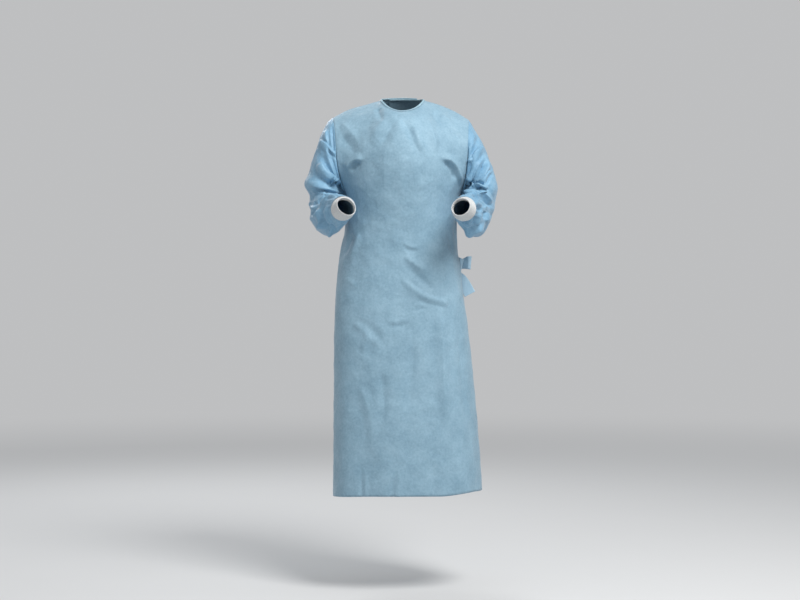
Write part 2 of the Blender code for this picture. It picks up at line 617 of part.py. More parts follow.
def binding(edges, normals, belows):
    """A strip that stands on the neck edge, over both faces of the cloth."""
    up = unit(np.cross(np.gradient(edges, axis=0), normals))
    up = up * np.sign(((edges - belows) * up).sum(axis=1, keepdims=True))
    up[1:-1] = unit(up[:-2] + 2 * up[1:-1] + up[2:])
    normals = normals.copy()
    normals[1:-1] = unit(normals[:-2] + 2 * normals[1:-1] + normals[2:])
    low = edges + up * BINDING_GAP
    high = low + up * BINDING_HEIGHT
    out = normals * BINDING_OVER
    back = normals * (CLOTH + BINDING_OVER)
    outside = np.stack([low + out, high + out])
    inside = np.stack([low - back, high - back])
    return outside, inside


def sewn_rows(panel, columns):
    """Rows for the sewn end of a tie, at places counted in columns of a flap, moved out of it."""
    across = np.array(columns) / (panel.shape[1] - 1)
    shares = np.linspace(0.0, 1.0, panel.shape[0])
    ups = np.array([np.interp(-TIE_HEIGHT, panel[:, round(i), 2], shares) for i in columns])
    normals = unit(sample(grid_normals(panel), across, ups))
    rise = unit(sample(np.gradient(panel, axis=0), across, ups))
    points = sample(panel, across, ups) + normals * (TIE_CLEAR + TIE_WALL / 2)
    return [(*point, TIE_WIDTH, *up_way) for point, up_way in zip(points, rise)]


def strip(name, table, colour):
    """A flat tie along the rows of its table."""
    table = np.array(table)
    at = np.concatenate([[0.0], np.cumsum(np.linalg.norm(np.diff(table[:, :3], axis=0), axis=1))])
    rows = smooth_table(at, table, np.linspace(0.0, at[-1], TIE_POINTS))
    size = dict(zip(TIE_COLUMNS, rows.T))
    line = np.stack([size["x"], size["y"], size["z"]], axis=1)
    side = np.stack([size["wx"], size["wy"], size["wz"]], axis=1)
    width = size["width"][:, None]
    ahead = unit(np.gradient(line, axis=0))
    side = unit(side - ahead * (side * ahead).sum(axis=1, keepdims=True))
    face = unit(np.cross(ahead, side))
    grid = np.stack([line - side * width / 2, line + side * width / 2], axis=0)
    lift = face[None] * TIE_WALL / 2
    return add_wall(name, grid + lift, grid - lift, colour)


def patch(name, panel, first, last, depth, colour):
    """A small patch along whole columns of a flap, near its top, at a depth below its outer face."""
    rows = panel.shape[0]
    up = (rows - 2 + np.array(PATCH_UP)) / (rows - 1)
    across = np.arange(first, last + 1) / (panel.shape[1] - 1)
    across, up = np.meshgrid(across, up)
    grid = sample(panel, across, up)
    normals = unit(sample(grid_normals(panel), across, up))
    return add_wall(name, grid - normals * depth, grid - normals * (depth + PATCH_WALL), colour)


def main():
    for obj in list(bpy.data.objects):
        bpy.data.objects.remove(obj, do_unlink=True)

    front = body_surface(-1)
    back = body_surface(1, DENSE_FACTOR)
    left = sleeve_surface(SLEEVE_LEFT, ARMHOLE_LEFT, -1.0)
    right = sleeve_surface(SLEEVE_RIGHT, ARMHOLE_RIGHT, 1.0)

    # Seen from outside, every grid runs to the right along its rows and up along its columns
    outer = flap(back, "outer")[:, ::-1]
    inner = flap(back, "inner")
    left = left[::-1, ::-1]
    right = right[::-1]
    knit_left = cuff_surface(left[0], 1.0)
    knit_right = cuff_surface(right[0], -1.0)
    body, arm, knit = range(3)
    pieces = (
        ("front", front, CLOTH_COLOUR, False, body),
        ("back_outer", outer, CLOTH_COLOUR, False, body),
        ("back_inner", inner, CLOTH_COLOUR, False, body),
        ("sleeve_left", left, SLEEVE_COLOUR, True, arm),
        ("sleeve_right", right, SLEEVE_COLOUR, True, arm),
        ("cuff_left", knit_left, CUFF_COLOUR, True, knit),
        ("cuff_right", knit_right, CUFF_COLOUR, True, knit),
    )
    grids = [piece[1] for piece in pieces]
    arounds = [piece[3] for piece in pieces]
    normals = [grid_normals(grid, around) for grid, around in zip(grids, arounds)]
    share_normals(grids, normals, arounds, [piece[4] for piece in pieces])
    for (name, grid, colour, around, _), normal in zip(pieces, normals):
        cloth_piece(name, grid, normal, colour, around)

    # The neck edge of the three panels in one line, from the outer flap to the inner one
    spans = (
        (outer, normals[1], slice(0, FLAP_NECK_STEPS + 1)),
        (front, normals[0], slice(SHOULDER_STEPS + 1, SHOULDER_STEPS + NECK_STEPS)),
        (inner, normals[2], slice(SHOULDER_STEPS, SHOULDER_STEPS + FLAP_NECK_STEPS + 1)),
    )
    edge = np.concatenate([grid[-1, span] for grid, _, span in spans])
    out = np.concatenate([normal[-1, span] for _, normal, span in spans])
    below = np.concatenate([grid[-2, span] for grid, _, span in spans])
    add_wall("neck_binding", *binding(edge, out, below), BINDING_COLOUR)

    columns = SHOULDER_STEPS + FLAP_NECK_STEPS
    hook_depth = CLOTH + PATCH_CLEAR
    loop_depth = -PATCH_CLEAR - PATCH_WALL
    patch("neck_hook", outer, 1, 1 + PATCH_STEPS, hook_depth, PATCH_COLOUR)
    patch("neck_loop", inner, columns - 1 - PATCH_STEPS, columns - 1, loop_depth, PATCH_COLOUR)
    strip("tie_flap", sewn_rows(outer, TIE_FLAP_SEWN) + list(TIE_FLAP), TIE_COLOUR)
    strip("tie_side", sewn_rows(inner, TIE_SIDE_SEWN) + list(TIE_SIDE), TIE_COLOUR)


main()
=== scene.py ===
# Wrap-round surgical gown, hanging as worn. Metres, X to the right, front to -Y, Z up.
from math import pi

import bmesh
import bpy
import numpy as np
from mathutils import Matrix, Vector, noise


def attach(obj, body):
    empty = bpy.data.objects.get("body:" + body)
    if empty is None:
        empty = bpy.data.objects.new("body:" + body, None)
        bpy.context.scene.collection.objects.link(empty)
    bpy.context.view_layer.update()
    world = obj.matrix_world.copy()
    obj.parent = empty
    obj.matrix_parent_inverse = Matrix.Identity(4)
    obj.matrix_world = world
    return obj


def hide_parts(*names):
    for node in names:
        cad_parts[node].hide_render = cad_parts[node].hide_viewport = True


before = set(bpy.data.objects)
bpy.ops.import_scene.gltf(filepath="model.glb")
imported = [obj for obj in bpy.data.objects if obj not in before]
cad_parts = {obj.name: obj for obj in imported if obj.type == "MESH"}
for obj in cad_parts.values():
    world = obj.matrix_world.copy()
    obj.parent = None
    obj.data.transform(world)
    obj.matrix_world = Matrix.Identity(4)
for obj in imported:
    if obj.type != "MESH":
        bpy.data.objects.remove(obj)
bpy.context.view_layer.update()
bpy.ops.object.select_all(action="DESELECT")
print("stage: frame loaded")


# camera, floor and light

viewSetup = {
    "cameraAt": (-0.0076, -5.0, -0.615), "lens": 73.8, "pictureMiddle": (400, 300),
    "floorHeight": -1.49, "floorRadius": 60.0, "floorColour": (0.66, 0.67, 0.68), "floorFade": (2.4, 8.0),
    "worldColour": (0.975, 0.985, 1.0), "worldStrength": 0.53,
    # where, power in watts, size, colour
    "key": ((1.25, -2.05, 1.85), 111.0, 1.5, (1.0, 0.985, 0.96)),
    "fill": ((-2.6, -3.2, -0.2), 4.0, 2.2, (0.95, 0.98, 1.0)),
    "rear": ((-1.2, 3.0, 1.5), 40.0, 1.6, (1.0, 1.0, 1.0)),
    "aim": (0.0, 0.0, -0.45),
}

camera = bpy.data.cameras.new("Camera")
camera.lens = viewSetup["lens"]
camera.sensor_width = 36.0
cameraObject = bpy.data.objects.new("Camera", camera)
cameraObject.location = viewSetup["cameraAt"]
cameraObject.rotation_euler = (pi / 2, 0.0, 0.0)
bpy.context.collection.objects.link(cameraObject)
bpy.context.scene.camera = cameraObject
bpy.context.scene.view_settings.view_transform = "Standard"


def areaLight(name, at, power, size, colour):
    light = bpy.data.lights.new(name, "AREA")
    light.shape = "DISK"
    light.size = size
    light.energy = power
    light.color = colour
    lamp = bpy.data.objects.new(name, light)
    lamp.location = at
    lamp.rotation_euler = (Vector(viewSetup["aim"]) - Vector(at)).to_track_quat("-Z", "Y").to_euler()
    lamp.visible_camera = False
    bpy.context.collection.objects.link(lamp)


for name in ("key", "fill", "rear"):
    areaLight(name, *viewSetup[name])
world = bpy.data.worlds.new("World")
world.use_nodes = True
world.node_tree.nodes["Background"].inputs[0].default_value = (*viewSetup["worldColour"], 1.0)
world.node_tree.nodes["Background"].inputs[1].default_value = viewSetup["worldStrength"]
bpy.context.scene.world = world


# shader maths

class Value:  # wraps a socket, so that shader sums read as Python
    def __init__(self, tree, socket):
        self.tree, self.socket = tree, socket

    def sum(self, operation, *others):
        node = self.tree.nodes.new("ShaderNodeMath")
        node.operation = operation
        for slot, item in zip(node.inputs, others):
            if isinstance(item, Value):
                self.tree.links.new(item.socket, slot)
            else:
                slot.default_value = item
        return Value(self.tree, node.outputs[0])

    def __add__(self, other):
        return self.sum("ADD", self, other)

    def __radd__(self, other):
        return self.sum("ADD", other, self)

    def __sub__(self, other):
        return self.sum("SUBTRACT", self, other)

    def __rsub__(self, other):
        return self.sum("SUBTRACT", other, self)

    def __mul__(self, other):
        return self.sum("MULTIPLY", self, other)

    def __rmul__(self, other):
        return self.sum("MULTIPLY", other, self)

    def __abs__(self):
        return self.sum("ABSOLUTE", self)

    def cosine(self):
        return self.sum("COSINE", self)


class Finish:  # a material with its shader, and one way to add any other node
    def __init__(self, name, colour, roughness):
        self.material = bpy.data.materials.new(name)
        self.material.use_nodes = True
        self.tree = self.material.node_tree
        self.shader = self.tree.nodes["Principled BSDF"]
        self.shader.inputs["Base Color"].default_value = (*colour, 1.0)
        self.shader.inputs["Roughness"].default_value = roughness

    def add(self, kind, settings=(), sockets=(), out=0):
        node = self.tree.nodes.new(kind)
        for key, item in dict(settings).items():
            setattr(node, key, item)
        for key, item in dict(sockets).items():
            if isinstance(item, Value):
                self.tree.links.new(item.socket, node.inputs[key])
            else:
                node.inputs[key].default_value = item
        return Value(self.tree, node.outputs[out])

    def feed(self, socket, item):
        self.tree.links.new(item.socket, self.shader.inputs[socket])

    def uv(self):
        return self.add("ShaderNodeTexCoord", out="UV")

    def place(self):
        return self.add("ShaderNodeTexCoord", out="Object")

    def noise(self, at, scale, detail=2.0, rough=0.5, stretch=None):
        if stretch:
            at = self.add("ShaderNodeMapping", {}, {"Vector": at, "Scale": stretch})
        return self.add("ShaderNodeTexNoise", {}, {"Vector": at, "Scale": scale, "Detail": detail,
                                                   "Roughness": rough}, "Fac")

    def blend(self, share, low, high):  # a colour between two, by a share from 0 to 1
        low = low if isinstance(low, Value) else (*low, 1.0)
        high = high if isinstance(high, Value) else (*high, 1.0)
        return self.add("ShaderNodeMix", {"data_type": "RGBA"}, {0: share, 6: low, 7: high}, 2)

    def clamp(self, item, low, high, to=(0.0, 1.0)):
        return self.add("ShaderNodeMapRange", {}, {"Value": item, "From Min": low, "From Max": high,
                                                   "To Min": to[0], "To Max": to[1]})

    def bumped(self, height, depth, strength=1.0):
        bump = self.add("ShaderNodeBump", {}, {"Height": height, "Distance": depth, "Strength": strength})
        self.feed("Normal", bump)


clothFinish = {
    "sheen": 0.12, "bondPitch": 0.0021,
    # pale and deep colour, depth of the dry creases, roughness
    "bodyCloth": ((0.283, 0.440, 0.548), (0.176, 0.305, 0.402), 0.0011, 0.60),
    "sleeveCloth": ((0.246, 0.436, 0.592), (0.142, 0.302, 0.455), 0.0013, 0.48),
    "bindingCloth": ((0.300, 0.460, 0.550), (0.230, 0.380, 0.465), 0.0006, 0.60),
    "tieCloth": ((0.400, 0.570, 0.690), (0.320, 0.490, 0.620), 0.0008, 0.60),
}


def clothMaterial(name):
    # spunbond cloth: fibres laid at random, tiny bond points in rows, soft blotches and dry creases
    pale, deep, crumple, roughness = clothFinish[name]
    m = Finish(name, pale, roughness)
    at, uv = m.place(), m.uv()
    fibre = m.noise(uv, 900.0, 3.0, 0.65, (1.0, 0.45, 1.0))
    flock = m.noise(at, 150.0, 3.0, 0.6)
    blotch = m.noise(at, 17.0, 3.0, 0.55)
    u = m.add("ShaderNodeSeparateXYZ", {}, {"Vector": uv})
    v = m.add("ShaderNodeSeparateXYZ", {}, {"Vector": uv}, 1)
    turns = 2 * pi / clothFinish["bondPitch"]
    dots = ((u + v) * turns).cosine() * ((u - v) * turns).cosine()
    dots = m.clamp(dots, 0.45, 0.9)
    shade = fibre * 0.30 + flock * 0.42 + blotch * 0.45
    shade = m.clamp(shade, 0.42, 0.76)
    colour = m.blend(shade, deep, pale)
    colour = m.blend(dots * 0.10, colour, tuple(0.86 * c for c in deep))
    m.feed("Base Color", colour)
    m.feed("Roughness", m.clamp(fibre * 0.5 + flock * 0.5, 0.3, 0.7, (roughness + 0.06, roughness - 0.06)))
    # dry creases: the ridges of a stretched noise, in two sizes
    coarse = m.noise(at, 26.0, 2.0, 0.5)
    fine = m.noise(at, 70.0, 2.0, 0.5)
    height = abs(coarse - 0.5) * (-2.4 * crumple) + abs(fine - 0.5) * (-0.9 * crumple)
    height = height + fibre * 0.00016 + dots * -0.00010
    m.bumped(height, 1.0, 1.0)
    m.shader.inputs["Sheen Weight"].default_value = clothFinish["sheen"]
    m.shader.inputs["Sheen Roughness"].default_value = 0.45
    m.shader.inputs["Specular IOR Level"].default_value = 0.35
    return m.material


bodyCloth = clothMaterial("bodyCloth")
sleeveCloth = clothMaterial("sleeveCloth")
bindingCloth = clothMaterial("bindingCloth")
tieCloth = clothMaterial("tieCloth")


cuffFinish = {
    "pale": (0.70, 0.715, 0.72), "deep": (0.52, 0.545, 0.56), "rowPitch": 0.0014, "loopPitch": 0.0018,
}


def knitMaterial():
    # fine rib knit: small loops in rows, UV in metres round and along the cuff
    m = Finish("cuffKnit", (0.66, 0.68, 0.69), 0.85)
    uv = m.uv()
    u = m.add("ShaderNodeSeparateXYZ", {}, {"Vector": uv})
    v = m.add("ShaderNodeSeparateXYZ", {}, {"Vector": uv}, 1)
    loops = (v * (2 * pi / cuffFinish["rowPitch"])
             + (u * (2 * pi / cuffFinish["loopPitch"])).cosine() * 1.2).cosine()
    fuzz = m.noise(uv, 2200.0, 2.0, 0.6)
    tone = m.clamp(loops * 0.35 + fuzz, 0.1, 0.9)
    m.feed("Base Color", m.blend(tone, cuffFinish["deep"], cuffFinish["pale"]))
    m.bumped(loops * 0.00012 + fuzz * 0.00010, 1.0)
    m.shader.inputs["Sheen Weight"].default_value = 0.4
    return m.material


def tapeMaterial(name, colour, grain):
    # hook tape has stiff points in rows, loop tape a soft tangle
    m = Finish(name, colour, 0.75)
    spots = m.add("ShaderNodeTexVoronoi", {}, {"Vector": m.place(), "Scale": grain}, "Distance")
    tone = m.clamp(spots, 0.1, 0.6)
    m.feed("Base Color", m.blend(tone, tuple(0.82 * c for c in colour), colour))
    m.bumped(tone, 0.0003)
    return m.material


def threadMaterial():
    m = Finish("sewingThread", (0.45, 0.63, 0.75), 0.6)
    twist = m.noise(m.place(), 1600.0, 1.0, 0.5, (1.0, 1.0, 3.0))
    m.feed("Base Color", m.blend(twist, (0.36, 0.54, 0.67), (0.52, 0.70, 0.80)))
    m.bumped(twist, 0.0001)
    return m.material


def floorMaterial():
    # the pale floor fades into the studio's own light, so that no edge shows
    m = Finish("paleFloor", viewSetup["floorColour"], 0.95)
    grain = m.noise(m.place(), 3.0, 4.0, 0.5)
    low = tuple(0.985 * c for c in viewSetup["floorColour"])
    m.feed("Base Color", m.blend(grain, low, viewSetup["floorColour"]))
    m.shader.inputs["Specular IOR Level"].default_value = 0.0
    far = m.add("ShaderNodeVectorMath", {"operation": "LENGTH"}, {0: m.place()}, "Value")
    near, gone = viewSetup["floorFade"]
    share = m.add("ShaderNodeMapRange", {"interpolation_type": "SMOOTHSTEP"},
                  {"Value": far, "From Min": near, "From Max": gone})
    glow = m.add("ShaderNodeEmission", {}, {"Color": (*viewSetup["worldColour"], 1.0),
                                            "Strength": viewSetup["worldStrength"]})
    mixed = m.add("ShaderNodeMixShader", {}, {0: share, 1: Value(m.tree, m.shader.outputs[0]), 2: glow})
    m.tree.links.new(mixed.socket, m.tree.nodes["Material Output"].inputs["Surface"])
    return m.material


cuffKnit = knitMaterial()
thread = threadMaterial()

bpy.ops.mesh.primitive_circle_add(vertices=96, radius=viewSetup["floorRadius"], fill_type="NGON",
                                  location=(0.0, 0.0, viewSetup["floorHeight"]))
floor = bpy.context.object
floor.name = "Floor"
floor.data.materials.append(floorMaterial())
print("stage: camera, light and materials")


# the gown's own shape: the cut of each piece, as it hangs

shape = {
    "skirtRows": 14, "yokeRows": 12, "shoulderSteps": 6, "neckSteps": 9, "flapNeckSteps": 8,
    "hem": 1.2085, "underarm": 0.294, "rowSpacing": 0.92, "sagRound": 1.4,
    "hemLift": 0.0175, "hemLiftDrop": 0.7, "hemLiftAcross": 0.3,
    "neckHalf": 0.068, "neckFront": (-0.090, -0.050), "neckBack": (0.062, 0.004),
    "neckSide": (0.006, -0.006), "neckRound": (0.92, 1.35),
    "chestFullness": 0.022, "backFullness": 0.016, "fullnessRound": (0.8, 0.7), "fullnessFade": 0.35,
    "smoothPasses": 40, "smoothWeight": 0.5, "smoothTop": 0.25, "blendRows": 5,
    "lapDepth": 0.0065, "lapStart": 0.01, "lapClear": 0.012,
    "sleeveRings": 23, "blendRings": 5, "blendFade": 1.6, "lean": 0.26, "foldRound": 1.5, "foldBack": -0.6,
    # drop, left, right, front, back, roundness, sag
    "body": (
        (0.294, -0.169, 0.176, -0.142, 0.112, 2.25, 0.050),
        (0.330, -0.161, 0.165, -0.143, 0.115, 2.30, 0.044),
        (0.372, -0.162, 0.151, -0.142, 0.117, 2.35, 0.037),
        (0.419, -0.179, 0.1515, -0.141, 0.120, 2.40, 0.030),
        (0.505, -0.196, 0.177, -0.144, 0.127, 2.45, 0.022),
        (0.587, -0.2025, 0.184, -0.149, 0.135, 2.45, 0.016),
        (0.682, -0.207, 0.197, -0.155, 0.143, 2.45, 0.010),
        (0.828, -0.209, 0.213, -0.163, 0.154, 2.45, 0.005),
        (0.984, -0.2095, 0.227, -0.170, 0.164, 2.45, 0.002),
        (1.2085, -0.211, 0.2425, -0.178, 0.176, 2.45, -0.015),
    ),
    "shoulderLeft": ((-0.118, 0.011, -0.0195), (-0.166, 0.012, -0.0335), (-0.2135, 0.012, -0.0580)),
    "shoulderRight": ((0.110, 0.011, -0.0175), (0.160, 0.012, -0.0385), (0.203, 0.012, -0.0650)),
    # armhole edges from the underarm up, front then back
    "armholeLeft": (
        ((-0.169, 0.000, -0.294), (-0.176, -0.040, -0.280), (-0.190, -0.068, -0.240),
         (-0.1985, -0.080, -0.185), (-0.2015, -0.076, -0.140), (-0.205, -0.055, -0.100),
         (-0.2105, -0.022, -0.069), (-0.2135, 0.012, -0.0580)),
        ((-0.169, 0.000, -0.294), (-0.174, 0.036, -0.276), (-0.182, 0.064, -0.232),
         (-0.189, 0.078, -0.180), (-0.195, 0.076, -0.132), (-0.203, 0.058, -0.094),
         (-0.210, 0.036, -0.068), (-0.2135, 0.012, -0.0580)),
    ),
    "armholeRight": (
        ((0.176, 0.000, -0.294), (0.182, -0.040, -0.278), (0.190, -0.068, -0.238),
         (0.1955, -0.080, -0.190), (0.197, -0.076, -0.145), (0.199, -0.055, -0.108),
         (0.2015, -0.022, -0.077), (0.203, 0.012, -0.0650)),
        ((0.176, 0.000, -0.294), (0.179, 0.036, -0.276), (0.184, 0.064, -0.234),
         (0.187, 0.078, -0.182), (0.190, 0.076, -0.136), (0.195, 0.058, -0.100),
         (0.2005, 0.036, -0.074), (0.203, 0.012, -0.0650)),
    ),
    # height, free edge of the outer flap, free edge of the inner flap, as shares across the back
    "flapEdges": ((0.00, 0.83, 0.20), (0.30, 0.82, 0.21), (0.54, 0.80, 0.24),
                  (0.70, 0.72, 0.31), (0.85, 0.64, 0.37), (1.00, 0.60, 0.40)),
    # large folds: across, spread, out, top, bottom
    "frontFolds": ((0.20, 0.070, 0.0050, 0.72, 1.30), (0.34, 0.060, -0.0040, 0.78, 1.30),
                   (0.46, 0.060, 0.0035, 0.80, 1.30), (0.60, 0.070, -0.0035, 0.70, 1.30),
                   (0.76, 0.070, 0.0045, 0.66, 1.30), (0.62, 0.080, 0.0045, 0.38, 0.66),
                   (0.30, 0.080, -0.0040, 0.44, 0.72)),
    "backFolds": ((0.10, 0.050, -0.0050, 0.50, 1.30), (0.19, 0.050, 0.0075, 0.46, 1.30),
                  (0.29, 0.050, -0.0075, 0.42, 1.30), (0.41, 0.055, 0.0090, 0.40, 1.30),
                  (0.53, 0.050, -0.0080, 0.42, 1.30), (0.64, 0.055, 0.0085, 0.40, 1.30),
                  (0.76, 0.050, -0.0070, 0.44, 1.30), (0.88, 0.050, 0.0055, 0.52, 1.30)),
    # sleeve rings, x outwards: inner point, outer point, half width, turn, fold
    "sleeveLeft": (
        (0.1690, 0.000, -0.2940, 0.2135, 0.012, -0.0580, 0.0790, 0.0, 0.000),
        (0.1718, 0.000, -0.2962, 0.2275, 0.011, -0.0740, 0.0815, 0.0, 0.002),
        (0.1738, 0.000, -0.2982, 0.2400, 0.010, -0.0940, 0.0830, 0.0, -0.002),
        (0.1754, -0.001, -0.3000, 0.2510, 0.008, -0.1200, 0.0840, 0.0, 0.004),
        (0.1767, -0.002, -0.3015, 0.2610, 0.006, -0.1500, 0.0840, 0.0, -0.003),
        (0.1778, -0.003, -0.3030, 0.2705, 0.004, -0.1800, 0.0835, 0.0, 0.005),
        (0.1787, -0.004, -0.3044, 0.2785, 0.001, -0.2080, 0.0820, 0.0, -0.003),
        (0.1794, -0.005, -0.3058, 0.2870, -0.002, -0.2340, 0.0805, 0.0, 0.003),
        (0.1799, -0.006, -0.3070, 0.2965, -0.004, -0.2600, 0.0795, 0.0, 0.004),
        (0.1803, -0.007, -0.3090, 0.2880, -0.006, -0.2850, 0.0770, 2.0, 0.000),
        (0.1802, -0.010, -0.3200, 0.2830, -0.010, -0.3060, 0.0780, 12.0, 0.000),
        (0.1800, -0.018, -0.3360, 0.2800, -0.018, -0.3230, 0.0790, 25.0, 0.000),
        (0.1792, -0.032, -0.3500, 0.2780, -0.032, -0.3370, 0.0780, 38.0, 0.000),
        (0.1780, -0.049, -0.3580, 0.2765, -0.049, -0.3470, 0.0750, 50.0, 0.000),
        (0.1765, -0.067, -0.3610, 0.2740, -0.067, -0.3520, 0.0700, 61.0, 0.000),
        (0.1745, -0.086, -0.3620, 0.2690, -0.086, -0.3550, 0.0650, 71.0, 0.000),
        (0.1715, -0.104, -0.3620, 0.2620, -0.104, -0.3560, 0.0620, 79.0, 0.002),
        (0.1675, -0.123, -0.3610, 0.2530, -0.123, -0.3560, 0.0605, 84.0, -0.001),
        (0.1615, -0.144, -0.3580, 0.2430, -0.144, -0.3550, 0.0560, 86.0, 0.001),
        (0.1545, -0.165, -0.3550, 0.2320, -0.165, -0.3530, 0.0500, 86.0, -0.001),
        (0.1470, -0.186, -0.3520, 0.2220, -0.186, -0.3500, 0.0440, 84.0, 0.001),
        (0.1405, -0.204, -0.3495, 0.2145, -0.204, -0.3480, 0.0395, 80.0, 0.000),
        (0.1365, -0.219, -0.3480, 0.2090, -0.219, -0.3465, 0.0365, 76.0, 0.000),
    ),
    "sleeveRight": (
        (0.1760, 0.000, -0.2940, 0.2030, 0.012, -0.0650, 0.0790, 0.0, 0.000),
        (0.1788, 0.000, -0.2962, 0.2140, 0.011, -0.0860, 0.0815, 0.0, 0.002),
        (0.1808, 0.000, -0.2982, 0.2270, 0.010, -0.1080, 0.0830, 0.0, -0.002),
        (0.1824, -0.001, -0.3000, 0.2400, 0.008, -0.1330, 0.0835, 0.0, 0.003),
        (0.1837, -0.002, -0.3015, 0.2530, 0.006, -0.1600, 0.0835, 0.0, -0.003),
        (0.1847, -0.003, -0.3030, 0.2640, 0.004, -0.1860, 0.0830, 0.0, 0.004),
        (0.1855, -0.004, -0.3044, 0.2730, 0.001, -0.2110, 0.0815, 0.0, -0.004),
        (0.1861, -0.005, -0.3058, 0.2820, -0.002, -0.2370, 0.0800, 0.0, 0.005),
        (0.1865, -0.006, -0.3070, 0.2870, -0.004, -0.2620, 0.0785, 0.0, 0.002),
        (0.1868, -0.007, -0.3090, 0.2860, -0.006, -0.2850, 0.0770, 2.0, 0.000),
        (0.1857, -0.010, -0.3200, 0.2840, -0.010, -0.3060, 0.0780, 12.0, 0.000),
        (0.1853, -0.018, -0.3360, 0.2790, -0.018, -0.3240, 0.0790, 25.0, 0.000),
        (0.1842, -0.032, -0.3500, 0.2730, -0.032, -0.3400, 0.0780, 38.0, 0.000),
        (0.1825, -0.049, -0.3580, 0.2670, -0.049, -0.3500, 0.0750, 50.0, 0.000),
        (0.1800, -0.067, -0.3620, 0.2620, -0.067, -0.3560, 0.0710, 61.0, 0.000),
        (0.1770, -0.086, -0.3640, 0.2570, -0.086, -0.3590, 0.0665, 71.0, 0.000),
        (0.1730, -0.104, -0.3640, 0.2510, -0.104, -0.3600, 0.0640, 79.0, 0.002),
        (0.1680, -0.123, -0.3620, 0.2440, -0.123, -0.3590, 0.0620, 84.0, -0.001),
        (0.1615, -0.144, -0.3590, 0.2360, -0.144, -0.3570, 0.0570, 86.0, 0.001),
        (0.1550, -0.165, -0.3560, 0.2280, -0.165, -0.3540, 0.0510, 86.0, -0.001),
        (0.1490, -0.186, -0.3530, 0.2210, -0.186, -0.3515, 0.0445, 84.0, 0.001),
        (0.1445, -0.204, -0.3505, 0.2165, -0.204, -0.3495, 0.0400, 80.0, 0.000),
        (0.1420, -0.219, -0.3490, 0.2145, -0.219, -0.3480, 0.0365, 76.0, 0.000),
    ),
}


def ramp(x):
    x = np.clip(x, 0.0, 1.0)
    return x * x * (3.0 - 2.0 * x)


def unit(v):
    return v / np.maximum(np.linalg.norm(v, axis=-1, keepdims=True), 1e-12)


def hermite(at, values, slopes, wanted):
    k = np.clip(np.searchsorted(at, wanted, side="right") - 1, 0, len(at) - 2)
    step = at[k + 1] - at[k]
    s = ((wanted - at[k]) / step)[:, None]
    step = step[:, None]
    return ((2 * s**3 - 3 * s**2 + 1) * values[k] + (s**3 - 2 * s**2 + s) * step * slopes[k]
            + (3 * s**2 - 2 * s**3) * values[k + 1] + (s**3 - s**2) * step * slopes[k + 1])


def smoothTable(at, table, wanted):
    table, at = np.array(table, float), np.asarray(at, float)
    return hermite(at, table, np.gradient(table, at, axis=0), np.asarray(wanted, float))


def curvePoints(points, shares):  # a smooth curve, read at shares of its length
    points = np.array(points, float)
    gaps = np.sqrt(np.linalg.norm(np.diff(points, axis=0), axis=1)) + 1e-9
    at = np.concatenate([[0.0], np.cumsum(gaps)])
    fine = np.linspace(0.0, at[-1], 24 * len(points))
    found = hermite(at, points, np.gradient(points, at, axis=0), fine)
    run = np.concatenate([[0.0], np.cumsum(np.linalg.norm(np.diff(found, axis=0), axis=1))])
    wanted = np.asarray(shares, float) * run[-1]
    return np.stack([np.interp(wanted, run, found[:, k]) for k in range(points.shape[1])], axis=1)


def bodyPoint(drop, turn, side):
    table = np.array(shape["body"])
    drop = float(np.clip(drop, shape["underarm"], shape["hem"])), drop
    _, left, right, front, back, power, _ = smoothTable(table[:, 0], table, [drop[0]])[0]
    across = -np.cos(turn)
    x = (left + right) / 2 + (right - left) / 2 * np.sign(across) * abs(across) ** (2 / power)
    return np.array([x, (front if side < 0 else back) * np.sin(turn) ** (2 / power), -drop[1]])


def skirtRow(drop, columns, side):
    table = np.array(shape["body"])
    sag = np.interp(drop, table[:, 0], table[:, 6])
    low, across = shape["hemLiftDrop"], shape["hemLiftAcross"]
    row = []
    for turn in np.linspace(0.0, pi, columns):
        lift = shape["hemLift"] * ramp((drop - low) / (shape["hem"] - low))
        lift *= ramp((-np.cos(turn) - across) / (1 - across))
        point = bodyPoint(drop + sag * np.sin(turn) ** shape["sagRound"], turn, side)
        point[2] += lift
        row.append(point)
    return np.array(row)


def topEdge(factor, side):
    besideNeck = np.array(shape["neckSide"])
    reach = np.array(shape["neckFront" if side < 0 else "neckBack"]) - besideNeck
    half = shape["neckHalf"]
    left = list(shape["shoulderLeft"][::-1]) + [(-half, *besideNeck)]
    right = [(half, *besideNeck)] + list(shape["shoulderRight"])
    neck = []
    for turn in np.linspace(0.0, pi, 17):
        y, z = besideNeck + reach * np.sin(turn) ** np.array(shape["neckRound"])
        neck.append((-half * np.cos(turn), y, z))
    shoulder = np.linspace(0.0, 1.0, shape["shoulderSteps"] * factor + 1)
    middle = np.linspace(0.0, 1.0, shape["neckSteps"] * factor + 1)
    return np.concatenate([curvePoints(left, shoulder), curvePoints(neck, middle)[1:-1],
                           curvePoints(right, shoulder)])


def coons(bottom, top, left, right):
    v = np.linspace(0.0, 1.0, len(left))[:, None, None]
    u = np.linspace(0.0, 1.0, len(bottom))[None, :, None]
    corners = ((1 - u) * (1 - v) * bottom[0] + u * (1 - v) * bottom[-1]
               + (1 - u) * v * top[0] + u * v * top[-1])
    return (1 - v) * bottom[None] + v * top[None] + (1 - u) * left[:, None] + u * right[:, None] - corners


def relax(grid, weights, passes):
    grid = grid.copy()
    for _ in range(passes):
        middle = (grid[:-2, 1:-1] + grid[2:, 1:-1] + grid[1:-1, :-2] + grid[1:-1, 2:]) / 4
        inside = grid[1:-1, 1:-1]
        grid[1:-1, 1:-1] = inside + weights[1:-1, 1:-1, None] * (middle - inside)
    return grid


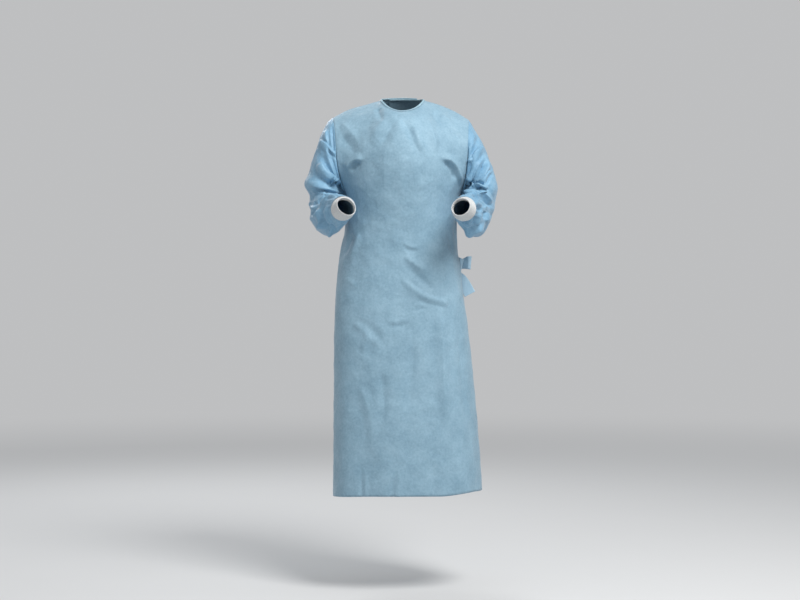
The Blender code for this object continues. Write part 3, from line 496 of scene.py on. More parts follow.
def gridNormals(grid, around=False):
    if around:
        wide = np.concatenate([grid[:, -2:-1], grid, grid[:, 1:2]], axis=1)
        across = wide[:, 2:] - wide[:, :-2]
    else:
        across = np.gradient(grid, axis=1)
    return unit(np.cross(across, np.gradient(grid, axis=0)))


def largeFolds(grid, folds):
    across = np.linspace(0.0, 1.0, grid.shape[1])[None, :]
    drop = -grid[:, :, 2]
    out = np.zeros(grid.shape[:2])
    for middle, spread, height, top, bottom in folds:
        life = ramp((drop - top) / 0.20) * ramp((bottom - drop) / 0.12)
        out += height * np.exp(-(((across - middle) / spread) ** 2)) * life
    return grid + gridNormals(grid) * (out * np.sin(pi * across) ** 0.3)[:, :, None]


def wholePanel(side, factor=1):  # the front, or the whole back before it is cut into flaps
    columns = (2 * shape["shoulderSteps"] + shape["neckSteps"]) * factor + 1
    rises = np.linspace(0.0, 1.0, shape["skirtRows"]) ** shape["rowSpacing"]
    drops = shape["hem"] - (shape["hem"] - shape["underarm"]) * rises
    skirt = np.array([skirtRow(drop, columns, side) for drop in drops])
    rows = shape["yokeRows"]
    shares = np.linspace(0.0, 1.0, rows + 1)
    edge = 0 if side < 0 else 1
    left = curvePoints(shape["armholeLeft"][edge], shares)
    right = curvePoints(shape["armholeRight"][edge], shares)
    yoke = coons(skirt[-1], topEdge(factor, side), left, right)
    v, u = shares[:, None], np.linspace(0.0, 1.0, columns)[None, :]
    upRound, acrossRound = shape["fullnessRound"]
    swell = np.sin(pi * v) ** upRound * (1 - shape["fullnessFade"] * v) * np.sin(pi * u) ** acrossRound
    yoke[:, :, 1] += side * shape["chestFullness" if side < 0 else "backFullness"] * swell
    grid = np.concatenate([skirt, yoke[1:]])
    heights = np.arange(len(grid)) - (shape["skirtRows"] - 1)
    fade = ramp((heights + shape["blendRows"]) / shape["blendRows"])
    fade = fade * (shape["smoothTop"] + (1 - shape["smoothTop"]) * ramp((rows - heights) / rows))
    grid = relax(grid, shape["smoothWeight"] * np.repeat(fade[:, None], columns, 1), shape["smoothPasses"])
    return largeFolds(grid, shape["frontFolds" if side < 0 else "backFolds"])


def readGrid(surface, across, up):
    rows, columns = surface.shape[:2]
    y = np.clip(up * (rows - 1), 0, rows - 1.000001)
    x = np.clip(across * (columns - 1), 0, columns - 1.000001)
    j, i = np.floor(y).astype(int), np.floor(x).astype(int)
    v, u = (y - j)[..., None], (x - i)[..., None]
    low = surface[j, i] * (1 - u) + surface[j, i + 1] * u
    high = surface[j + 1, i] * (1 - u) + surface[j + 1, i + 1] * u
    return low * (1 - v) + high * v


def flapStops(heights, name):
    table = np.array(shape["flapEdges"])
    column = 1 if name == "outer" else 2
    return smoothTable(table[:, 0], table[:, column:column + 1], np.clip(heights, 0.0, 1.0))


def flapGrid(back, name):
    rows, steps = back.shape[0], shape["shoulderSteps"]
    heights = (back[:, :, 2].mean(axis=1) + shape["hem"]) / shape["hem"]
    stops = flapStops(heights, name)
    stops = stops if name == "outer" else 1.0 - stops
    columns = steps + shape["flapNeckSteps"]
    even = np.linspace(0.0, 1.0, columns + 1)[None, :] * stops
    neckPoint = steps / (2 * steps + shape["neckSteps"])
    rest = np.linspace(neckPoint, stops[-1, 0], shape["flapNeckSteps"] + 1)[1:]
    aligned = np.concatenate([np.linspace(0.0, neckPoint, steps + 1), rest])[None, :]
    pull = ramp((np.arange(rows) - shape["skirtRows"]) / shape["yokeRows"])[:, None]
    pull[-1] = 1.0
    share = (1.0 - pull) * even + pull * aligned
    across = share if name == "outer" else 1.0 - share
    up = np.repeat(np.linspace(0.0, 1.0, rows)[:, None], columns + 1, 1)
    points = readGrid(back, across, up)
    if name == "inner":
        inwards = unit(readGrid(gridNormals(back), across, up))
        low = shape["lapStart"] + (neckPoint - shape["lapStart"]) * pull
        high = 1.0 - flapStops(heights, "outer") - shape["lapClear"]
        points = points + inwards * shape["lapDepth"] * ramp((share - low) / (high - low))[:, :, None]
    return points


def sleeveGrid(table, armhole, outwards):
    shares = np.linspace(0.0, 1.0, shape["yokeRows"] + 1)
    first = np.concatenate([curvePoints(armhole[0], shares), curvePoints(armhole[1], shares)[-2::-1]])
    places = np.linspace(0.0, len(table) - 1.0, shape["sleeveRings"])
    rings = smoothTable(np.arange(len(table)), table, places)
    turns = np.linspace(0.0, 2 * pi, len(first))
    ahead, around = np.sin(turns), np.cos(turns)
    mirror = np.array([outwards, 1.0, 1.0])
    grid = np.zeros((len(rings), len(turns), 3))
    for k, ring in enumerate(rings):
        inner, outer, (half, lift, out) = ring[0:3] * mirror, ring[3:6] * mirror, ring[6:9]
        lift = np.radians(lift)
        reach = (outer - inner) / 2
        face = np.array([shape["lean"] * np.sin(lift) * outwards, -np.cos(lift), np.sin(lift)])
        face = unit(face - unit(reach) * (face @ unit(reach)))
        swell = np.abs(ahead) ** shape["foldRound"] * np.where(ahead > 0, out, shape["foldBack"] * out)
        deep = half * ahead + np.sign(ahead) * swell
        grid[k] = (inner + outer) / 2 - around[:, None] * reach + deep[:, None] * face
    rest = first - grid[0]
    for k in range(shape["blendRings"]):
        grid[k] += rest * (1.0 - k / shape["blendRings"]) ** shape["blendFade"]
    grid[:, -1] = grid[:, 0]
    return grid


# finer grids, creases and shells

def splineWeights(count, at, breaks=()):
    # a cubic spline through even values, split where an edge has a corner
    bands, second = np.eye(count), np.zeros((count, count))
    for k in range(1, count - 1):
        bands[k, k - 1:k + 2] = (1.0, 4.0, 1.0)
        second[k, k - 1:k + 2] = (6.0, -12.0, 6.0)
    for k in breaks:
        bands[k] = np.eye(count)[k]
        second[k] = 0.0
    bend = np.linalg.solve(bands, second)
    k = np.clip(np.floor(at + 1e-9).astype(int), 0, count - 2)
    s = (at - k)[:, None]
    r = 1.0 - s
    eye = np.eye(count)
    return r * eye[k] + s * eye[k + 1] + ((r**3 - r) * bend[k] + (s**3 - s) * bend[k + 1]) / 6.0


def finer(grid, rows, columns, around=False, rowBreaks=(), columnBreaks=()):
    # more points on the same smooth surface, with corners only along the edges that have them
    if around:
        grid = np.concatenate([grid[:, -7:-1], grid, grid[:, 1:7]], axis=1)
    pad = 6 if around else 0
    upAt = np.linspace(0.0, grid.shape[0] - 1.0, rows)
    acrossAt = np.linspace(pad, grid.shape[1] - 1.0 - pad, columns)
    up, across = splineWeights(grid.shape[0], upAt), splineWeights(grid.shape[1], acrossAt)
    found = np.einsum("ja,ib,abk->jik", up, across, grid)
    if columnBreaks:
        split = splineWeights(grid.shape[1], acrossAt, [pad + k for k in columnBreaks])
        other = np.einsum("ja,ib,abk->jik", up, split, grid)
        share = ramp((np.linspace(0.0, 1.0, rows) - 0.86) / 0.14)[:, None, None]
        found = found * (1 - share) + other * share
    if rowBreaks:
        split = splineWeights(grid.shape[0], upAt, rowBreaks)
        other = np.einsum("ja,ib,abk->jik", split, across, grid)
        share = ramp((np.abs(np.linspace(-1.0, 1.0, columns)) - 0.86) / 0.14)[None, :, None]
        found = found * (1 - share) + other * share
    return found


def flatMap(grid):  # lengths on the cloth: across from the middle column, up from the first row
    across = np.linalg.norm(np.diff(grid, axis=1), axis=2)
    across = np.concatenate([np.zeros((len(grid), 1)), np.cumsum(across, axis=1)], axis=1)
    across = across - across[:, across.shape[1] // 2:across.shape[1] // 2 + 1]
    up = np.linalg.norm(np.diff(grid, axis=0), axis=2).mean(axis=1)
    up = np.concatenate([[0.0], np.cumsum(up)])
    return np.stack([across, np.repeat(up[:, None], grid.shape[1], 1)], axis=2)


def creased(grid, creases, normals, facing, strength=1.0, sharp=1.5, over=0.05):
    # each crease, in metres: height, half width, skew, fade in, fade out, then x, z along it
    flat = grid[:, :, [0, 2]].reshape(-1, 2)
    show = ramp((facing * normals[:, :, 1] + over) / 0.45).reshape(-1)
    out = np.zeros(len(flat))
    for height, width, skew, fadeIn, fadeOut, *path in creases:
        line = curvePoints(np.array(path, float), np.linspace(0.0, 1.0, 22))
        low, high = line.min(axis=0) - 4 * width, line.max(axis=0) + 4 * width
        near = np.where(((flat > low) & (flat < high)).all(axis=1))[0]
        best = np.full(len(near), 1e9)
        along, side = np.zeros(len(near)), np.zeros(len(near))
        for k in range(len(line) - 1):
            run = line[k + 1] - line[k]
            away = flat[near] - line[k]
            t = np.clip(away @ run / (run @ run), 0.0, 1.0)
            rest = away - t[:, None] * run
            d = np.linalg.norm(rest, axis=1)
            better = d < best
            best = np.where(better, d, best)
            along = np.where(better, (k + t) / (len(line) - 1), along)
            side = np.where(better, np.sign(run[0] * away[:, 1] - run[1] * away[:, 0]), side)
        life = ramp(along / max(fadeIn, 1e-3)) * ramp((1 - along) / max(fadeOut, 1e-3))
        life = life * (0.35 + 0.65 * life)
        wide = 2.0 * width * (1 + skew * side) * (0.6 + 0.4 * life)
        # two flat sides, and a ridge no sharper than the grid can carry
        soft = np.maximum(0.12, 0.0020 / wide)
        tent = np.clip(1.0 - (np.hypot(best / wide, soft) - soft) / (np.hypot(1.0, soft) - soft), 0.0, 1.0)
        out[near] += height * life * tent ** sharp
    return (out * show * strength).reshape(grid.shape[:2])


def crumpled(grid, size, height, seed):
    # dry crumples: broad flat facets with soft ridges between them
    flat = grid.reshape(-1, 3) / size + seed
    broad = np.array([noise.noise(Vector(p)) for p in flat])
    small = np.array([noise.noise(Vector(p)) for p in flat * 2.3 + 7.0])
    facets = (0.5 - np.abs(broad) * 1.6) + 0.35 * (0.5 - np.abs(small) * 1.6)
    return (height * facets).reshape(grid.shape[:2])


def fromEdges(uv, edges):  # distance on the cloth from the named edges
    width = np.full(uv.shape[:2], 9.0)
    if "left" in edges:
        width = np.minimum(width, uv[:, :, 0] - uv[:, :1, 0])
    if "right" in edges:
        width = np.minimum(width, uv[:, -1:, 0] - uv[:, :, 0])
    if "top" in edges:
        width = np.minimum(width, uv[-1:, :, 1] - uv[:, :, 1])
    return width


def puckered(grid, away, depth, reach, seed):
    # a sewn edge dips to its seam, with small uneven puckers that die out over its reach
    flat = grid.reshape(-1, 3) / 0.011 + seed
    wave = np.array([noise.noise(Vector(p)) for p in flat]).reshape(grid.shape[:2])
    return (-0.0008 * np.exp(-(away / 0.0028) ** 2)
            + depth * wave * np.exp(-(away / reach) ** 1.3) * ramp(away / 0.003))


def gridObject(name, grid, uv, around=False):
    rows, columns = grid.shape[:2]
    count = columns - 1 if around else columns
    points = grid[:, :count].reshape(-1, 3)
    j, i = np.meshgrid(np.arange(rows - 1), np.arange(columns - 1), indexing="ij")
    j, i = j.reshape(-1), i.reshape(-1)
    corner = [(j, i), (j, i + 1), (j + 1, i + 1), (j + 1, i)]
    faces = np.stack([a * count + b % count if around else a * count + b for a, b in corner], axis=1)
    mesh = bpy.data.meshes.new(name)
    mesh.from_pydata(points.tolist(), [], faces.tolist())
    layer = mesh.uv_layers.new(name="cut")
    layer.data.foreach_set("uv", np.stack([uv[a, b] for a, b in corner], axis=1).reshape(-1))
    mesh.update()
    piece = bpy.data.objects.new(name, mesh)
    bpy.context.collection.objects.link(piece)
    return piece


def walled(piece, material, thickness, offset=-1.0):
    piece.data.materials.append(material)
    bpy.context.view_layer.objects.active = piece
    wall = piece.modifiers.new("wall", "SOLIDIFY")
    wall.thickness = thickness
    wall.offset = offset
    bpy.ops.object.modifier_apply(modifier="wall")
    piece.data.polygons.foreach_set("use_smooth", [True] * len(piece.data.polygons))
    return piece


def shell(name, grid, uv, thickness, material, around=False):
    return walled(gridObject(name, grid, uv, around), material, thickness)


def finished(piece, slot, *nodes):
    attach(piece, "root")
    if nodes:
        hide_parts(*nodes)
    return piece


back = wholePanel(1, 3)
coarse = {
    "front": wholePanel(-1),
    "outer": flapGrid(back, "outer")[:, ::-1],
    "inner": flapGrid(back, "inner"),
    "left": sleeveGrid(shape["sleeveLeft"], shape["armholeLeft"], -1.0)[::-1, ::-1],
    "right": sleeveGrid(shape["sleeveRight"], shape["armholeRight"], 1.0)[::-1],
}
print("stage: shapes")


# front panel

frontPanel = {
    "rows": 268, "columns": 168, "thickness": 0.0008, "strength": 1.1, "crumples": (0.055, 0.0020),
    "pixel": 0.002957,
    # for each place how much higher, how much wider, the least half width, and its creases
    "creases": {
        "from the neck and shoulders": (1.25, 1.7, 0.0, (
            (-4, 5, 0, 0.1, 0.6, (377, 104), (379, 112), (383, 124)),
            (-4.5, 9, 0, 0.3, 0.5, (398, 117), (390, 128), (381, 144), (372, 156)),
            (4, 9, 0, 0.3, 0.5, (388, 114), (378, 128), (366, 143)),
            (3.5, 7, 0, 0.3, 0.5, (338, 115), (350, 130), (362, 143)),
            (-4, 8, 0, 0.3, 0.4, (338, 130), (350, 146), (358, 157)),
            (-5.5, 7, 0, 0.2, 0.5, (400, 114.5), (410, 131), (416, 148), (420, 160)),
            (5, 6, 0.3, 0.3, 0.4, (411, 122), (419, 143), (425, 157)),
            (-5.5, 7, 0, 0.15, 0.5, (433, 106), (439, 118), (447, 136)),
            (5, 7, -0.3, 0.2, 0.4, (425, 112), (431, 128), (436, 146), (434, 158)),
            (3.5, 5, 0, 0.15, 0.5, (441, 110), (450, 118), (456, 128)),
            (-3, 4, 0, 0.3, 0.4, (448, 124), (458, 133), (466, 140)),
        )),
        "the dimple under the neck": (1.0, 1.0, 0.0, (
            (-2, 1.6, 0, 0.3, 0.3, (396, 112.5), (397.3, 114.5), (398.6, 112.5)),
        )),
        "where the sleeves push the cloth in": (1.15, 1.5, 0.0, (
            (8, 6, 0.5, 0.3, 0.3, (346, 172), (349, 164), (356, 159.5), (366, 158.8)),
            (-5, 5, 0, 0.3, 0.3, (350, 172), (354, 164.5), (363, 162)),
            (9, 6, 0.5, 0.3, 0.3, (437, 158.5), (446, 158.5), (454, 163.5), (459, 173), (461, 186)),
            (-6, 5, 0, 0.3, 0.3, (440, 162), (448, 164), (453, 170), (455, 182)),
        )),
        "below the sleeves": (1.2, 1.3, 0.0, (
            (-6, 6, 0, 0.2, 0.5, (352, 230), (346, 246), (340, 262)),
            (5, 6, 0, 0.2, 0.5, (360, 232), (354, 248), (347, 264)),
            (-4, 6, 0, 0.2, 0.5, (448, 228), (452, 242), (454, 258)),
            (4, 6, 0, 0.3, 0.5, (440, 236), (444, 252)),
        )),
        "across the middle": (0.9, 1.55, 0.0, (
            (-3, 3, 0, 0.3, 0.4, (402, 243.7), (409, 250.5), (415, 251), (423, 249)),
            (2.2, 3.5, 0, 0.3, 0.4, (401, 239), (409, 246), (416, 246.5), (424, 244.5)),
            (5.5, 6, 0.5, 0.3, 0.4, (400, 254), (409.4, 260.6), (420, 268), (432, 275)),
            (-7, 6, 0, 0.3, 0.3, (404, 264), (412, 271), (420, 277.5), (430, 286), (439, 292.5)),
            (8, 7, -0.4, 0.3, 0.06, (398, 274), (409, 285), (420, 293), (432, 299), (449, 303.5)),
            (-5, 5, 0, 0.4, 0.1, (412, 296), (424, 302), (436, 305), (447, 306.5)),
            (-2.5, 3, 0, 0.4, 0.4, (411.5, 311), (420, 308.6), (432.6, 309)),
            (2.5, 3, 0, 0.4, 0.4, (411, 307.5), (421, 305.5), (432, 306)),
            (3.5, 3.5, 0, 0.3, 0.4, (385, 319.5), (391.5, 322), (405, 320.7), (412, 319)),
            (-3, 4, 0, 0.4, 0.4, (386, 324.5), (396, 326), (410, 323.5)),
        )),
        "the slanting folds at the lower left": (0.5, 2.0, 0.0, (
            (6, 5, 0.3, 0.2, 0.2, (352, 322), (358, 327), (364, 331), (370, 338)),
            (6, 5, 0, 0.1, 0.4, (369, 334), (365, 346), (361, 356)),
            (-7, 6, 0, 0.2, 0.5, (356, 319), (364, 324.5), (372, 331), (382, 342), (390, 352)),
            (-6, 5, 0, 0.2, 0.5, (373, 340), (369, 350), (365, 362)),
        )),
        "long soft pleats of the skirt": (1.2, 1.3, 0.0, (
            (-5, 14, 0, 0.3, 0.4, (414, 330), (412, 360), (410, 400), (408, 430)),
            (6, 10, 0, 0.2, 0.3, (438, 300), (442, 340), (444, 390), (446, 440)),
            (-4, 9, 0, 0.3, 0.3, (458, 320), (462, 370), (466, 430)),
            (4, 10, 0, 0.3, 0.4, (352, 375), (366, 400), (372, 430), (370, 460)),
            (-4, 10, 0, 0.3, 0.4, (380, 360), (384, 400), (380, 440)),
        )),
        "short pleats at the hem": (0.66, 1.69, 0.0, (
            (-4.5, 4, 0.4, 0.4, 0.02, (361, 470), (361.4, 484), (361, 497)),
            (4, 4, 0, 0.4, 0.02, (366, 465), (365.5, 480), (365, 497)),
            (-4, 5, 0, 0.4, 0.02, (398, 464), (393.6, 480), (392.5, 497)),
            (3.5, 5, 0, 0.4, 0.02, (402, 460), (399, 478), (398, 497)),
            (-3, 7, 0, 0.4, 0.02, (430, 455), (433, 475), (434, 497)),
            (3.5, 7, 0, 0.4, 0.02, (455, 450), (458, 470), (460, 492)),
        )),
    },
}


def readCreases(groups, pixel):
    # creases read from the picture: height and half width in mm, skew, fade in, fade out,
    # then picture points, which become metres on cloth where a pixel spans that much
    acrossMiddle, downMiddle = viewSetup["pictureMiddle"]
    x, _, z = viewSetup["cameraAt"]
    creases = []
    for higher, wider, least, rows in groups.values():
        for height, width, skew, fadeIn, fadeOut, *path in rows:
            points = [(x + (across - acrossMiddle) * pixel, z - (down - downMiddle) * pixel)
                      for across, down in path]
            half = max(width * wider, least) / 1000
            creases.append((height * higher / 1000, half, skew, fadeIn, fadeOut, *points))
    return creases


def frontPiece():
    d = frontPanel
    rowCorner, steps = shape["skirtRows"] - 1, shape["shoulderSteps"]
    grid = finer(coarse["front"], d["rows"], d["columns"], rowBreaks=(rowCorner,),
                 columnBreaks=(steps, steps + shape["neckSteps"]))
    normals, uv = gridNormals(grid), flatMap(grid)
    away = fromEdges(uv, ("left", "right", "top"))
    hold = ramp(away / 0.020)
    out = creased(grid, readCreases(d["creases"], d["pixel"]), normals, -1.0, d["strength"]) * hold
    out += crumpled(grid, *d["crumples"], 3.0) * hold
    out += puckered(grid, away, 0.0011, 0.012, 5.0)
    grid = grid + normals * out[:, :, None]
    piece = shell("Gown_Front", grid, uv, d["thickness"], bodyCloth)
    return finished(piece, "body_cloth", "front"), grid


front, frontFine = frontPiece()
print("stage: front panel")


# back flaps

backFlaps = {
    "rows": 230, "columns": 128, "thickness": 0.0008, "strength": 2.4, "crumples": (0.055, 0.0012),
    # height, half width, skew, fade in, fade out, then x, z along the crease, in metres
    "creases": (
        (0.0040, 0.012, 0.0, 0.3, 0.5, (-0.150, -0.180), (-0.110, -0.240), (-0.060, -0.300)),
        (-0.0040, 0.014, 0.0, 0.3, 0.5, (-0.160, -0.210), (-0.120, -0.270), (-0.070, -0.330)),
        (0.0036, 0.012, 0.0, 0.3, 0.5, (0.150, -0.190), (0.110, -0.250), (0.070, -0.310)),
        (-0.0036, 0.014, 0.0, 0.3, 0.5, (0.160, -0.220), (0.120, -0.280), (0.080, -0.340)),
        (0.0034, 0.010, 0.0, 0.1, 0.5, (0.130, -0.502), (0.080, -0.520), (0.010, -0.530), (-0.060, -0.524)),
        (-0.0034, 0.011, 0.0, 0.1, 0.5, (0.128, -0.516), (0.070, -0.545), (0.000, -0.566)),
        (0.0030, 0.010, 0.0, 0.1, 0.5, (0.128, -0.494), (0.080, -0.480), (0.030, -0.450)),
        (0.0030, 0.014, 0.0, 0.4, 0.4, (-0.100, -0.620), (-0.070, -0.700), (-0.080, -0.790)),
        (-0.0030, 0.014, 0.0, 0.4, 0.4, (-0.020, -0.700), (0.010, -0.780), (0.000, -0.860)),
        (0.0030, 0.016, 0.0, 0.4, 0.4, (0.090, -0.820), (0.110, -0.900), (0.100, -0.980)),
        # long soft pleats of the skirt, and pulls from the shoulder seams
        (0.0040, 0.016, 0.0, 0.3, 0.5,
         (-0.040, -0.560), (-0.052, -0.700), (-0.060, -0.860), (-0.064, -1.000)),
        (-0.0045, 0.018, 0.0, 0.3, 0.5, (0.060, -0.580), (0.050, -0.720), (0.046, -0.880), (0.050, -1.040)),
        (0.0035, 0.014, 0.0, 0.3, 0.4, (0.000, -0.640), (-0.004, -0.800), (0.004, -0.980)),
        (-0.0035, 0.012, 0.0, 0.2, 0.5, (-0.150, -0.075), (-0.120, -0.130), (-0.080, -0.170)),
        (0.0032, 0.012, 0.0, 0.2, 0.5, (0.140, -0.070), (0.110, -0.130), (0.060, -0.180)),
        (-0.0030, 0.010, 0.0, 0.2, 0.5, (0.010, -0.060), (0.004, -0.120), (-0.014, -0.190)),
        (-0.0026, 0.010, 0.0, 0.4, 0.02, (-0.060, -1.060), (-0.066, -1.120), (-0.070, -1.180)),
        (0.0026, 0.010, 0.0, 0.4, 0.02, (0.060, -1.050), (0.066, -1.120), (0.070, -1.180)),
    ),
}


def flapPiece(name, key, node, seams, seed):
    d = backFlaps
    steps = shape["shoulderSteps"]
    neckColumn = steps if key == "inner" else coarse[key].shape[1] - 1 - steps
    grid = finer(coarse[key], d["rows"], d["columns"], rowBreaks=(shape["skirtRows"] - 1,),
                 columnBreaks=(neckColumn,))
    normals, uv = gridNormals(grid), flatMap(grid)
    away = fromEdges(uv, seams)
    hold = ramp(away / 0.020)
    calm = 0.45 if key == "inner" else 1.0  # the inner flap keeps clear of the outer one
    out = creased(grid, d["creases"], normals, 1.0, d["strength"] * calm) * hold
    size, height = d["crumples"]
    out += crumpled(grid, size, height * calm, seed) * hold
    out += puckered(grid, away, 0.0011, 0.012, seed)
    if key == "inner":
        out = np.minimum(out, 0.0012)
    else:
        out = np.maximum(out, -0.0030)
    grid = grid + normals * out[:, :, None]
    return finished(shell(name, grid, uv, d["thickness"], bodyCloth), "body_cloth", node), grid


outer, outerFine = flapPiece("Gown_Back_Outer", "outer", "back_outer", ("right", "top"), 11.0)
inner, innerFine = flapPiece("Gown_Back_Inner", "inner", "back_inner", ("left", "top"), 17.0)
print("stage: back flaps")


# sleeves

